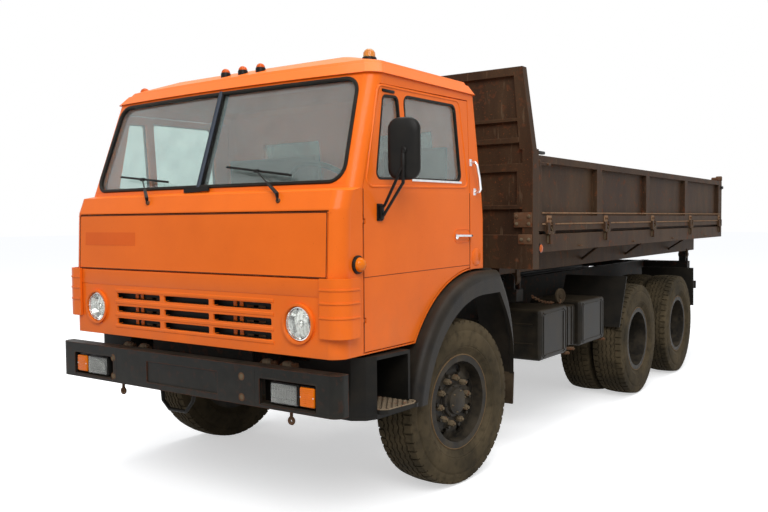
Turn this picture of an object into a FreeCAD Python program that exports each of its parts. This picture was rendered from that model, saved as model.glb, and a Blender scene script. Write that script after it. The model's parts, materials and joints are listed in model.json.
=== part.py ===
import FreeCAD, Part
import math
import os
from types import SimpleNamespace
from FreeCAD import Placement, Rotation, Vector
import Sketcher

# Six-wheeled cab-over dump truck whose bed tips to the side.  Millimetres.
# +X is the truck's left, -Y its front, +Z up; the origin is on the ground under
# the middle of its length.  A "station" is a distance behind the front axle.

doc = FreeCAD.newDocument("dump_truck")
sheet = doc.addObject("Spreadsheet::Sheet", "dims")

# alias, value: millimetres, or degrees where the alias says angle
SIZES = (
    # running gear
    ("axle_front", -2475), ("wheel_base", 3190), ("bogie_gap", 1320),
    ("tyre_radius", 515), ("tyre_half", 140), ("bead_radius", 262), ("flange_radius", 296),
    ("rim_half", 116), ("rim_skin", 12), ("barrel_radius", 250), ("disc_thick", 14),
    ("track_half", 1005), ("twin_out", 1070), ("twin_in", 755),
    ("hub_radius", 105), ("hub_reach", 62), ("drum_radius", 205), ("stud_circle", 167.5),
    ("stud_radius", 11), ("hand_hole_circle", 205), ("hand_hole_radius", 27),
    ("kingpin_half", 830), ("kingpin_radius", 20), ("boss_radius", 45), ("boss_half", 60),
    ("yoke_thick", 40), ("spindle_radius", 38), ("running_gap", 0.3), ("part_gap", 6),
    ("arm_back", 190), ("ball_radius", 12), ("tie_radius", 17), ("steer_rest_angle", -5.7),
    ("beam_high", 90), ("beam_half", 40), ("spring_half", 40), ("spring_x", 393),
    ("housing_radius", 72), ("banjo_radius", 190), ("drive_spindle_radius", 50),
    ("nose_reach", 330), ("tail_reach", 215), ("shaft_rise", 60), ("flange", 24),
    ("leaf_thick", 26),
    # frame
    ("rail_out", 433), ("rail_wide", 80), ("rail_low", 760), ("rail_top", 985),
    ("rail_skin", 10), ("frame_nose", -1110), ("front_cross", -1080), ("frame_tail", 5950),
    ("sub_nose", 1000), ("cross_half", 50), ("box_gap", 80), ("tow_low", 632),
    ("tow_nose", -1188), ("hitch_low", 810), ("hitch_high", 930), ("hitch_radius", 20),
    ("engine_half", 300), ("engine_low", 620), ("engine_top", 1170),
    ("engine_nose", -760), ("engine_tail", 560), ("box_tail", 1250),
    # bumper
    ("bumper_half", 1150), ("bumper_nose", -1284), ("bumper_back", -1196),
    ("bumper_low", 658), ("bumper_top", 876), ("bumper_skin", 22), ("bumper_round", 55),
    ("lamp_box_in", 620), ("lamp_box_out", 1010), ("lamp_box_low", 675), ("lamp_box_top", 815),
    # front wings and steps
    ("wing_face", 1190), ("wing_inner", 930), ("wing_skin", 25), ("wing_lip", 22),
    ("wing_round", 55), ("wing_foot", 597),
    ("step_top", 640), ("step_low", 590), ("step_high", 925), ("step_front", -1036),
    ("step_back", -634), ("step_inner", 760), ("well_inner", 865), ("well_front", -930),
    # cab
    ("cab_half", 1104), ("cab_wall", 40), ("cab_low", 940),
    ("arch_centre", 205), ("arch_height", 479), ("arch_radius", 850), ("arch_top", 1329),
    ("tunnel_half", 450), ("tunnel_top", 1250), ("air_box_half", 680),
    ("cab_hinge_station", -1134), ("cab_hinge_height", 960), ("lug_radius", 28),
    ("hatch_half", 1033), ("hatch_low", 1353), ("hatch_top", 1691),
    ("belt", 1805), ("door_front", -1005), ("door_rear", 140), ("door_low", 947),
    ("hatch_pin_station", -1198), ("hatch_pin_z", 1686), ("hinge_pin", 3.5),
    ("door_pin_x", 1100), ("door_pin_station", -996), ("running_fit", 0.08),
        ("lamp_x", 847), ("lamp_z", 1111), ("lamp_radius", 92),
    # bed
    ("bed_half", 1236), ("bed_nose", 735), ("bed_tail", 6235), ("wall_thick", 65),
    ("floor_top", 1535), ("floor_rail_low", 1410), ("floor_rail_wide", 80), ("floor_skin", 10),
    ("long_low", 1246), ("long_in", 860), ("long_wide", 80),
    ("wall_top", 2690), ("wall_shoulder", 2125), ("wall_top_half", 1180), ("wall_sheet", 30),
    ("post_in", 1180), ("post_out", 1258), ("front_beam_low", 1300), ("front_beam_deep", 80),
    ("board_low", 1560), ("board_top", 2090), ("board_thick", 50), ("board_skin", 8),
    ("board_nose", 839), ("board_tail", 6164),
    ("board_hinge_x", 1250), ("board_hinge_z", 1547.5), ("board_knuckle", 10),
    ("pivot_x", 900), ("pivot_drop", 46), ("pivot_radius", 25), ("pivot_eye", 55),
    ("ear_radius", 40), ("ear_rise", 80),
    ("pivot_front", 1150), ("pivot_rear", 5800), ("ear_thick", 20), ("eye_wide", 60),
    # tipping ram
    ("ram_station", 2150), ("ram_base", 790), ("ram_drop", 70), ("ram_cheek", 60),
    ("ram_barrel", 95), ("ram_stage", 75), ("ram_rod", 55), ("ram_neck", 30),
    ("trunnion", 22), ("trunnion_half", 150), ("cheek_thick", 25), ("cradle_near", 105),
    ("cradle_far", 205),
)
for row, (alias, value) in enumerate(SIZES, start=1):
    sheet.set(f"A{row}", alias)
    sheet.set(f"B{row}", str(value))
    sheet.setAlias(f"B{row}", alias)
doc.recompute()


class Dim:
    """A size that knows its value and the spreadsheet expression that gives it."""

    def __init__(self, value, text):
        self.value = float(value)
        self.text = text

    def __add__(self, other):
        other = as_dim(other)
        return Dim(self.value + other.value, f"({self.text} + {other.text})")

    def __sub__(self, other):
        other = as_dim(other)
        return Dim(self.value - other.value, f"({self.text} - {other.text})")

    def __mul__(self, other):
        other = as_dim(other)
        return Dim(self.value * other.value, f"({self.text} * {other.text})")

    def __neg__(self):
        return Dim(-self.value, f"(-1 * {self.text})")

    def __radd__(self, other):
        return as_dim(other) + self

    def __rsub__(self, other):
        return as_dim(other) - self

    def __rmul__(self, other):
        return as_dim(other) * self


def as_dim(number):
    """Give a plain number the form of a Dim."""
    return number if isinstance(number, Dim) else Dim(number, f"({number})")


D = SimpleNamespace(**{alias: Dim(value, f"dims.{alias}") for alias, value in SIZES})
NODES = {}


def at(station):
    """Y of a station."""
    return D.axle_front + station


D.pivot_z = D.long_low - D.pivot_drop
D.sub_top = D.pivot_z - D.ear_rise
D.ram_eye = D.floor_rail_low - D.ram_drop
AXLE_MID = at(D.wheel_base)
KNUCKLE_FACE = D.kingpin_half + D.boss_radius + D.part_gap + 20
AXLE_REAR = AXLE_MID + D.bogie_gap
WHEEL_Z = D.tyre_radius


def bind(obj, prop, size):
    """Set a property from a Dim, and bind it to the sheet."""
    obj.setExpression(prop, as_dim(size).text)


def place(obj, x=0, y=0, z=0, turn=None):
    """Place an object, its base bound to the sheet."""
    obj.Placement = Placement(Vector(), turn or Rotation())
    for axis, size in (("x", x), ("y", y), ("z", z)):
        bind(obj, f"Placement.Base.{axis}", size)
    return obj


def box(name, x, y, z):
    """A block between two X, two Y and two Z values."""
    obj = doc.addObject("Part::Box", name)
    for prop, (low, high) in (("Length", x), ("Width", y), ("Height", z)):
        bind(obj, prop, as_dim(high) - low)
    return place(obj, x[0], y[0], z[0])


TURNS = {
    "x": Rotation(Vector(0, 1, 0), 90),
    "y": Rotation(Vector(1, 0, 0), -90),
    "z": Rotation(),
}


def rod(name, axis, base, radius, length):
    """A cylinder that runs from base along +X, +Y or +Z."""
    obj = doc.addObject("Part::Cylinder", name)
    bind(obj, "Radius", radius)
    bind(obj, "Height", length)
    return place(obj, *base, turn=TURNS[axis])


def bar(name, start, end, radius):
    """A round bar between two points whose places are not along one axis."""
    ends = [Vector(*(as_dim(c).value for c in point)) for point in (start, end)]
    obj = doc.addObject("Part::Cylinder", name)
    run = ends[1] - ends[0]
    bind(obj, "Radius", radius)
    obj.Height = run.Length
    return place(obj, *start, turn=Rotation(Vector(0, 0, 1), run))


def fuse(name, pieces):
    """One solid from pieces that meet."""
    obj = doc.addObject("Part::MultiFuse", name)
    obj.Shapes = pieces
    obj.Refine = True
    return obj


def cut(name, base, tools):
    """A base less its tools."""
    tool = tools[0] if len(tools) == 1 else group(f"{name}Tools", tools)
    obj = doc.addObject("Part::Cut", name)
    obj.Base = base
    obj.Tool = tool
    obj.Refine = True
    return obj


def group(name, pieces):
    """Solids of one node that do not touch, or tools of one cut."""
    obj = doc.addObject("Part::Compound", name)
    obj.Links = pieces
    return obj


def mirrored(obj):
    """The same piece on the truck's other side."""
    other = doc.addObject("Part::Mirroring", f"{obj.Name}Right")
    other.Source = obj
    other.Base = Vector()
    other.Normal = Vector(1, 0, 0)
    return other


def both(pieces):
    """Pieces and their mirror images."""
    return pieces + [mirrored(piece) for piece in pieces]


def node(name, obj):
    """Name a finished sub-part."""
    obj.Label = name
    NODES[name] = obj
    return obj


PLANES = {"xy": ("XY_Plane", 1), "xz": ("XZ_Plane", -1), "yz": ("YZ_Plane", 1)}


def sketch_on(body, plane, outline, offset=0):
    """A closed sketch of lines and arcs.  Each row is (u, v) or (u, v, radius): with a radius
    the edge to the next row is an arc, on the left of the way to it if the radius is positive."""
    role, sign = PLANES[plane]
    origin = next(f for f in body.Origin.OriginFeatures if f.Role == role)
    sketch = body.newObject("Sketcher::SketchObject", f"{body.Name}Sketch")
    sketch.AttachmentSupport = (origin, [""])
    sketch.MapMode = "FlatFace"
    sketch.setExpression("AttachmentOffset.Base.z", (as_dim(offset) * sign).text)
    rows = [tuple(as_dim(c) for c in row) for row in outline]
    for i, row in enumerate(rows):
        start = Vector(row[0].value, row[1].value, 0)
        after = rows[(i + 1) % len(rows)]
        end = Vector(after[0].value, after[1].value, 0)
        if len(row) == 2:
            sketch.addGeometry(Part.LineSegment(start, end))
            continue
        radius = abs(row[2].value)
        chord = end - start
        side = Vector(-chord.y, chord.x, 0).normalize() * math.copysign(1, row[2].value)
        rise = radius - math.sqrt(radius ** 2 - chord.Length ** 2 / 4)
        middle = start + chord * 0.5 + side * rise
        turns_left = row[2].value < 0
        first, last = (start, end) if turns_left else (end, start)
        sketch.addGeometry(Part.Arc(first, middle, last))
    for i, row in enumerate(rows):
        after = (i + 1) % len(rows)
        arc = sketch.Geometry[i]
        first, last = end_ids(arc, rows[i])
        first_after, _ = end_ids(sketch.Geometry[after], rows[after])
        sketch.addConstraint(Sketcher.Constraint("Coincident", i, last, after, first_after))
        for kind, size in (("DistanceX", row[0]), ("DistanceY", row[1])):
            index = sketch.addConstraint(Sketcher.Constraint(kind, -1, 1, i, first, size.value))
            sketch.setExpression(f"Constraints[{index}]", size.text)
        if len(row) == 3:
            index = sketch.addConstraint(Sketcher.Constraint("Radius", i, abs(row[2].value)))
            sketch.setExpression(f"Constraints[{index}]", f"abs({row[2].text})")
    return sketch


def end_ids(edge, row):
    """Which end of a sketch edge is at its row's point, then the other end."""
    start = Vector(row[0].value, row[1].value, 0)
    if edge.StartPoint.distanceToPoint(start) < 1e-6:
        return 1, 2
    return 2, 1


def prism(name, plane, outline, low, high):
    """A padded outline between two values of the axis across its plane."""
    body = doc.addObject("PartDesign::Body", name)
    start = low if PLANES[plane][1] > 0 else high
    sketch = sketch_on(body, plane, outline, start)
    pad = body.newObject("PartDesign::Pad", f"{name}Pad")
    pad.Profile = sketch
    bind(pad, "Length", as_dim(high) - low)
    return body


def lathe(name, outline, x=0, y=0, z=0):
    """An outline of (x, radius) rows turned about X, placed at a centre."""
    body = doc.addObject("PartDesign::Body", name)
    sketch = sketch_on(body, "xy", outline)
    turned = body.newObject("PartDesign::Revolution", f"{name}Turned")
    turned.Profile = sketch
    turned.ReferenceAxis = (sketch, ["H_Axis"])
    turned.Angle = 360
    return place(body, x, y, z)


# ---------------------------------------------------------------- wheels

def tyre(name, x, y):
    """One tyre as a plain ring: bead, two flats of side wall, shoulder, crown."""
    half = (  # across from the middle, radius
        (D.rim_half - D.rim_skin, D.bead_radius),
        (D.rim_half - D.rim_skin, D.flange_radius),
        (D.tyre_half, D.bead_radius + 95),
        (D.tyre_half - 4, D.tyre_radius - 70),
        (D.tyre_half - 24, D.tyre_radius - 12),
        (D.tyre_half - 60, D.tyre_radius),
    )
    outline = list(half) + [(-across, radius) for across, radius in reversed(half)]
    return lathe(name, outline, x, y, WHEEL_Z)


def rim(name, x, y, side, face, dish):
    """A wheel's rim and disc.  face: where the disc's nave stands, out from the rim's middle;
    dish: how far the disc runs in or out between nave and rim."""
    skin = D.rim_skin
    barrel = [
        (D.rim_half, D.flange_radius), (D.rim_half - skin, D.flange_radius),
        (D.rim_half - skin, D.bead_radius), (-D.rim_half + skin, D.bead_radius),
        (-D.rim_half + skin, D.flange_radius), (-D.rim_half, D.flange_radius),
        (-D.rim_half, D.barrel_radius), (D.rim_half, D.barrel_radius),
    ]
    thick = D.disc_thick
    disc = [
        (face, D.hub_radius - 10), (face, D.stud_circle + 25),
        (face + dish, D.barrel_radius), (face + dish - thick * side, D.barrel_radius),
        (face - thick * side, D.stud_circle + 25), (face - thick * side, D.hub_radius - 10),
    ]
    if side < 0:
        disc.reverse()
    return [
        lathe(f"{name}Barrel", barrel, x, y, WHEEL_Z),
        lathe(f"{name}Disc", disc, x, y, WHEEL_Z),
    ]


def around(count, radius, phase=0):
    """Y and Z offsets of points evenly spaced round a circle."""
    for i in range(count):
        angle = math.radians(phase + 360 * i / count)
        yield i, radius.value * math.cos(angle), radius.value * math.sin(angle)


def front_wheel(hand, side):
    """A steered wheel: tyre, disc wheel with hand holes, hub and drum."""
    x = D.track_half * side
    y = D.axle_front
    name = f"Front{hand}"
    face = 50 * side
    pieces = rim(f"{name}Rim", x, y, side, face, -14 * side)
    holes = [
        rod(f"{name}Hand{i}", "x", (x - 90, y + dy, WHEEL_Z + dz), D.hand_hole_radius, 200)
        for i, dy, dz in around(8, D.hand_hole_circle, 22.5)
    ]
    pieces[1] = cut(f"{name}Pierced", pieces[1], holes)
    out = x + face
    inward = D.track_half + 50 - KNUCKLE_FACE - D.part_gap
    hub = hub_solid(name, out, y, side, inward)
    studs = [
        rod(f"{name}Stud{i}", "x", (out - (0 if side > 0 else 24), y + dy, WHEEL_Z + dz),
            D.stud_radius, 24)
        for i, dy, dz in around(10, D.stud_circle)
    ]
    solid = fuse(f"{name}Metal", pieces + [hub] + studs)
    bore = bore_for(name, out, y, side, D.spindle_radius)
    return tyre(f"{name}Tyre", x, y), cut(f"{name}Rim", solid, [bore])


def hub_solid(name, out, y, side, inward):
    """Hub cap, hub and brake drum as one turned piece, from its outer face inwards."""
    rows = [
        (D.hub_reach * side, 0), (D.hub_reach * side, 55), (50 * side, 78), (0, 82),
        (0, D.hub_radius), (-30 * side, D.hub_radius), (-30 * side, D.drum_radius),
        (-inward * side, D.drum_radius), (-inward * side, 0),
    ]
    if side < 0:
        rows.reverse()
    return lathe(f"{name}Hub", rows, out, y, WHEEL_Z)


def bore_for(name, out, y, side, radius):
    """The hub's bore, blind behind the hub cap, open inwards."""
    length = 400
    start = out + 10 - length if side > 0 else out - 10
    return rod(f"{name}Bore", "x", (start, y, WHEEL_Z), radius + D.running_gap, length)


def twin_wheel(name, side, y):
    """Twin wheels: two tyres, two rims disc to disc, hub and drum."""
    tyres = [
        tyre(f"{name}Outer", D.twin_out * side, y),
        tyre(f"{name}Inner", D.twin_in * side, y),
    ]
    middle = (D.twin_out.value + D.twin_in.value) / 2
    disc_out = (middle - D.twin_out.value + 14) * side
    disc_in = (middle - D.twin_in.value) * side
    outer = rim(f"{name}OuterRim", D.twin_out * side, y, side, disc_out, 50 * side)
    inner = rim(f"{name}InnerRim", D.twin_in * side, y, side, disc_in, -50 * side)
    holes = [
        rod(f"{name}Hand{i}", "x", (D.twin_out * side - 300, y + dy, WHEEL_Z + dz),
            D.hand_hole_radius, 600)
        for i, dy, dz in around(8, D.hand_hole_circle, 22.5)
    ]
    out = middle * side + 14 * side
    hub = hub_solid(name, out, y, side, 240)
    studs = [
        rod(f"{name}Stud{i}", "x", (out - (0 if side > 0 else 30), y + dy, WHEEL_Z + dz),
            D.stud_radius, 30)
        for i, dy, dz in around(10, D.stud_circle)
    ]
    discs = [cut(f"{name}Pierced{i}", disc, holes) for i, disc in enumerate((outer[1], inner[1]))]
    solid = fuse(f"{name}Metal", [outer[0], inner[0], hub] + discs + studs)
    bore = bore_for(name, out, y, side, D.drive_spindle_radius)
    return group(f"{name}Tyres", tyres), cut(f"{name}Rims", solid, [bore])


def steered(obj, side):
    """Turn a steered piece about its kingpin to where the wheels stand at rest."""
    pin = Vector(D.kingpin_half.value * side, D.axle_front.value, 0)
    turn = Rotation(Vector(0, 0, 1), D.steer_rest_angle.value)
    obj.Placement = Placement(pin, turn) * Placement(-pin, Rotation()) * obj.Placement
    return obj


def moved(name, obj, side):
    """A steered node: a copy of the straight piece in its turned place."""
    doc.recompute()
    turned = doc.addObject("Part::Feature", f"{name}Steered".replace("_", ""))
    turned.Shape = obj.Shape
    return node(name, steered(turned, side))


for hand, side in (("left", 1), ("right", -1)):
    tyre_obj, rim_obj = front_wheel(hand.title(), side)
    moved(f"front_tyre_{hand}", group(f"FrontTyre{side + 1}", [tyre_obj]), side)
    moved(f"front_rim_{hand}", rim_obj, side)
    for where, y in (("mid", AXLE_MID), ("rear", AXLE_REAR)):
        tyres, rims = twin_wheel(f"{where}{hand}".title(), side, y)
        node(f"{where}_tyres_{hand}", tyres)
        node(f"{where}_rims_{hand}", rims)

# ---------------------------------------------------------------- steering

def knuckle(hand, side):
    """Kingpin, yoke, spindle and tie-rod arm, all one forging."""
    name = f"Knuckle{hand}"
    x = D.kingpin_half * side
    y = D.axle_front
    low = WHEEL_Z - D.boss_half - D.part_gap - D.yoke_thick
    high = WHEEL_Z + D.boss_half + D.part_gap + D.yoke_thick
    near = D.kingpin_half + D.boss_radius + D.part_gap
    yoke_x = sorted_span(side, D.kingpin_half - 42, near + 20)
    plate_x = sorted_span(side, near, near + 20)
    pieces = [
        rod(f"{name}Pin", "z", (x, y, low), D.kingpin_radius, high - low),
        box(f"{name}Low", yoke_x, (y - 42, y + 42), (low, low + D.yoke_thick)),
        box(f"{name}High", yoke_x, (y - 42, y + 42), (high - D.yoke_thick, high)),
        box(f"{name}Plate", plate_x, (y - 42, y + 42), (low, high)),
        rod(f"{name}Spindle", "x", (near * side - (0 if side > 0 else 130), y, WHEEL_Z),
            D.spindle_radius, 130),
        box(f"{name}Arm", (x - 22, x + 22), (y + 20, y + D.arm_back + 25), (low, low + 30)),
        rod(f"{name}Ball", "z", (x, y + D.arm_back, low - 45), D.ball_radius, 50),
    ]
    return moved(f"knuckle_{hand.lower()}", fuse(name, pieces), side)


def sorted_span(side, low, high):
    """A span of X on the left side, or its mirror image on the right side."""
    return (low, high) if side > 0 else (-as_dim(high), -as_dim(low))


for hand, side in (("Left", 1), ("Right", -1)):
    knuckle(hand, side)


def tie_rod():
    """Straight rod between the two knuckle arms, an eye at each end."""
    low = WHEEL_Z - D.boss_half - D.part_gap - D.yoke_thick
    z = low - 45 + 14
    turn = math.radians(D.steer_rest_angle.value)
    shift_x = -D.arm_back.value * math.sin(turn)
    back_y = D.arm_back.value * math.cos(turn)
    y = D.axle_front + back_y
    pieces = [rod("TieRodBar", "x", (-D.kingpin_half + shift_x + 20, y, z), D.tie_radius,
                  2 * D.kingpin_half - 40)]
    holes = []
    for side in (1, -1):
        x = D.kingpin_half * side + shift_x
        pieces.append(rod(f"TieEye{side + 1}", "z", (x, y, z - 12), 24, 26))
        holes.append(rod(f"TieHole{side + 1}", "z", (x, y, z - 30), D.ball_radius + D.running_gap, 80))
    return node("tie_rod", cut("TieRod", fuse("TieRodSolid", pieces), holes))


tie_rod()

# ---------------------------------------------------------------- axles, springs, drive line

def front_axle():
    """Forged beam between two kingpin bosses."""
    y = D.axle_front
    beam_x = D.kingpin_half - D.boss_radius + 15
    pieces = [
        box("AxleBeam", (-beam_x, beam_x), (y - D.beam_half, y + D.beam_half),
            (WHEEL_Z - 55, WHEEL_Z - 55 + D.beam_high)),
    ]
    bosses = [rod("AxleBoss", "z", (D.kingpin_half, y, WHEEL_Z - D.boss_half), D.boss_radius,
                  2 * D.boss_half)]
    holes = [rod("AxleHole", "z", (D.kingpin_half, y, WHEEL_Z - 200),
                 D.kingpin_radius + D.running_gap, 400)]
    return node("front_axle", cut("FrontAxle", fuse("FrontAxleSolid", pieces + both(bosses)),
                                  both(holes)))


front_axle()


BOGIE_SPRING = WHEEL_Z + D.housing_radius + 10


def drive_axles():
    """Two driven axles: tube, banjo, spindles and the torque arms' brackets."""
    solids = []
    for label, y in (("Mid", AXLE_MID), ("Rear", AXLE_REAR)):
        tube_half = D.twin_in - D.tyre_half - 15
        ball = doc.addObject("Part::Sphere", f"{label}Banjo")
        bind(ball, "Radius", D.banjo_radius)
        place(ball, 0, y, WHEEL_Z)
        spindle = rod(f"{label}Spindle", "x", (tube_half, y, WHEEL_Z), D.drive_spindle_radius,
                      D.twin_out - 160 - tube_half)
        pieces = [
            ball,
            rod(f"{label}Tube", "x", (-tube_half, y, WHEEL_Z), D.housing_radius, 2 * tube_half),
            rod(f"{label}Nose", "y", (0, y - D.nose_reach, WHEEL_Z + D.shaft_rise), 85,
                D.nose_reach - 80),
            rod(f"{label}Tail", "y", (0, y, WHEEL_Z + D.shaft_rise), 60, D.tail_reach),
        ] + both([spindle, box(f"{label}Pad", (D.spring_x - 35, D.spring_x + 35),
                               (y - 45, y + 45), (WHEEL_Z + 40, BOGIE_SPRING + 52))])
        solids.append(fuse(f"{label}Axle", pieces))
    return node("drive_axles", group("DriveAxles", solids))


drive_axles()


def propshafts():
    """Gearbox to middle axle, and middle axle to rear axle."""
    z = WHEEL_Z + D.shaft_rise
    spans = (  # name, start y, start z, end y
        ("Main", at(D.box_tail), D.engine_low + 100, AXLE_MID - D.nose_reach, z),
        ("Short", AXLE_MID + D.tail_reach, z, AXLE_REAR - D.nose_reach, z),
    )
    solids = [fuse(f"{name}Shaft", [
        bar(f"{name}Bar", (0, y0 + 12, z0), (0, y1 - 12, z1), 42),
        rod(f"{name}Flange", "y", (0, y0, z0), 62, D.flange),
        rod(f"{name}Coupling", "y", (0, y1 - D.flange, z1), 62, D.flange),
    ]) for name, y0, z0, y1, z1 in spans]
    return node("propshafts", group("Propshafts", solids))


propshafts()


def leaf_springs():
    """Front springs over the beam and the balance springs between the driven axles."""
    packs = (  # name, centre y, underside z, leaf lengths from the longest down
        ("Front", D.axle_front, WHEEL_Z + 35, (560, 700, 1400)),
        ("Bogie", AXLE_MID + D.bogie_gap * 0.5, BOGIE_SPRING, (460, 860, 1320)),
    )
    solids = []
    for name, y, low, lengths in packs:
        leaves = []
        for i, length in enumerate(lengths):
            z = low + D.leaf_thick * i
            leaves.append(box(f"{name}Leaf{i}", (D.spring_x - D.spring_half, D.spring_x
                              + D.spring_half), (y - length / 2, y + length / 2),
                              (z, z + D.leaf_thick)))
        top = low + D.leaf_thick * len(lengths)
        for i, shift in enumerate((-length / 2 + 30, length / 2 - 30) if name == "Front" else (0,)):
            leaves.append(box(f"{name}Hanger{i}", (D.spring_x - 25, D.spring_x + 25),
                              (y + shift - 30, y + shift + 30), (top, D.rail_low)))
        solids.append(fuse(f"{name}Spring", leaves))
    return node("leaf_springs", group("LeafSprings", both(solids)))


leaf_springs()

# ---------------------------------------------------------------- frame

def frame():
    """Two channel rails and their crossmembers."""
    inner = D.rail_out - D.rail_wide
    span = (at(D.frame_nose), at(D.frame_tail))
    rail = cut("Rail", box("RailBar", (inner, D.rail_out), span, (D.rail_low, D.rail_top)), [
        box("RailHollow", (inner - 1, D.rail_out - D.rail_skin), (span[0] - 1, span[1] + 1),
            (D.rail_low + D.rail_skin, D.rail_top - D.rail_skin))])
    pieces = both([rail])
    out = D.rail_out - D.rail_skin
    for i, station in enumerate((D.front_cross, D.box_tail + D.box_gap, 2550, 3850, 5200, 5895)):
        pieces.append(box(f"Cross{i}", (-out, out), (at(station) - D.cross_half,
                          at(station) + D.cross_half), (D.rail_low + 20, D.rail_top - 20)))
    # tow lugs under the bumper, hinge lugs for the cab, hitch block at the tail
    hinge_y = at(D.cab_hinge_station)
    pieces += both([
        box("TowLug", (D.rail_out - 50, D.rail_out - 20), (at(D.tow_nose), at(D.frame_nose) + 60),
            (D.tow_low, D.rail_low + 30)),
        box("HingeLug", (D.rail_out - 30, D.rail_out), (hinge_y, at(D.frame_nose) + 40),
            (D.cab_hinge_height - D.lug_radius, D.cab_hinge_height)),
        rod("HingeLugEnd", "x", (D.rail_out - 30, hinge_y, D.cab_hinge_height), D.lug_radius,
            30),
    ])
    pieces.append(box("HitchBlock", (-90, 90), (at(D.frame_tail) - 10, at(D.frame_tail) + 90),
                      (D.hitch_low, D.hitch_high)))
    holes = [rod("HitchBore", "z", (0, at(D.frame_tail) + 50, D.hitch_low - 100),
                 D.hitch_radius, 400)]
    holes += both([rod("TowEye", "x", (D.rail_out - 60, at(D.tow_nose) + 28, D.tow_low + 28), 14,
                       60)])
    holes += both([rod("HingeBore", "x", (D.rail_out - 100, hinge_y, D.cab_hinge_height), 12.3,
                       150)])
    return node("frame", cut("Frame", fuse("FrameSolid", pieces), holes))


frame()


def cab_rest():
    """Posts on the rails that the cab's rear edge rests on, tied by a beam."""
    y = (at(270), at(320))
    foot = box("RestFoot", (D.rail_out, 520), y, (900, D.rail_top))
    post = box("RestPost", (465, 520), y, (900, D.arch_top - D.part_gap))
    beam = box("RestBeam", (-520, 520), y, (D.engine_top + 30, D.engine_top + 90))
    return node("cab_rest", fuse("CabRest", both([foot, post]) + [beam]))


cab_rest()


def engine():
    """Engine and gearbox as plain blocks at their real place, on four mounts."""
    pieces = [
        box("Engine", (-D.engine_half, D.engine_half), (at(D.engine_nose), at(D.engine_tail)),
            (D.engine_low, D.engine_top)),
        box("Gearbox", (-190, 190), (at(D.engine_tail), at(D.box_tail)),
            (D.engine_low + 10, D.rail_top - 60)),
    ]
    web = D.rail_out - D.rail_skin
    mounts = [box(f"Mount{i}", (D.engine_half, web), (at(y), at(y + 90)), (830, 900))
              for i, y in enumerate((-600, 380))]
    return node("engine", fuse("EngineSolid", pieces + both(mounts)))


engine()


def radiator():
    """Radiator core in its frame ahead of the engine."""
    return node("radiator", box("Radiator", (-353, 353), (at(-1030), at(-930)), (640, 1190)))


radiator()


def subframe():
    """Tipping frame on the rails, with the cross beams and ears that carry the bed's pivots."""
    inner = D.rail_out - D.rail_wide
    web = D.rail_out - D.rail_skin
    z = (D.rail_top, D.sub_top)
    pieces = both([box("SubRail", (inner, D.rail_out), (at(D.sub_nose), at(D.frame_tail)), z)])
    half_eye = D.eye_wide * 0.5
    beam = half_eye + D.part_gap + D.ear_thick
    pins = []
    for label, station in (("Front", D.pivot_front), ("Rear", D.pivot_rear)):
        y = at(station)
        low = D.sub_top - 90
        pieces.append(box(f"{label}Beam", (-D.pivot_x - 60, D.pivot_x + 60), (y - beam, y + beam),
                          (low, D.sub_top)))
        for i, face in enumerate((-beam, beam - D.ear_thick)):
            pieces += both([
                box(f"{label}Ear{i}", (D.pivot_x - D.ear_radius, D.pivot_x + D.ear_radius),
                    (y + face, y + face + D.ear_thick), (D.sub_top - 10, D.pivot_z)),
                rod(f"{label}EarTop{i}", "y", (D.pivot_x, y + face, D.pivot_z), D.ear_radius,
                    D.ear_thick)])
        pins += both([rod(f"{label}Pin", "y", (D.pivot_x, y - beam, D.pivot_z), D.pivot_radius,
                          2 * beam)])
    for i, station in enumerate((D.ram_station - 230, D.ram_station + 230)):
        pieces.append(box(f"RamBeam{i}", (-web, web), (at(station) - 30, at(station) + 30),
                          (D.rail_low + D.rail_skin, D.rail_top - 120)))
    cradles = cut("RamCradles", group("RamPosts", [
        box(f"RamPost{i}", (-45, 45), sorted_y(face), (D.rail_low + D.rail_skin, D.ram_base + 45))
        for i, face in enumerate((-1, 1))]),
        [rod("RamPostBore", "y", (0, at(D.ram_station) - 300, D.ram_base),
             D.trunnion + D.running_gap, 600)])
    return node("subframe", fuse("Subframe", pieces + pins + [cradles]))


def sorted_y(face):
    """The span of Y of the ram's fore or aft cradle post."""
    y = at(D.ram_station)
    if face > 0:
        return y + D.cradle_near, y + D.cradle_far
    return y - D.cradle_far, y - D.cradle_near


subframe()

# ---------------------------------------------------------------- bumper, wings, steps, boxes

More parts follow.
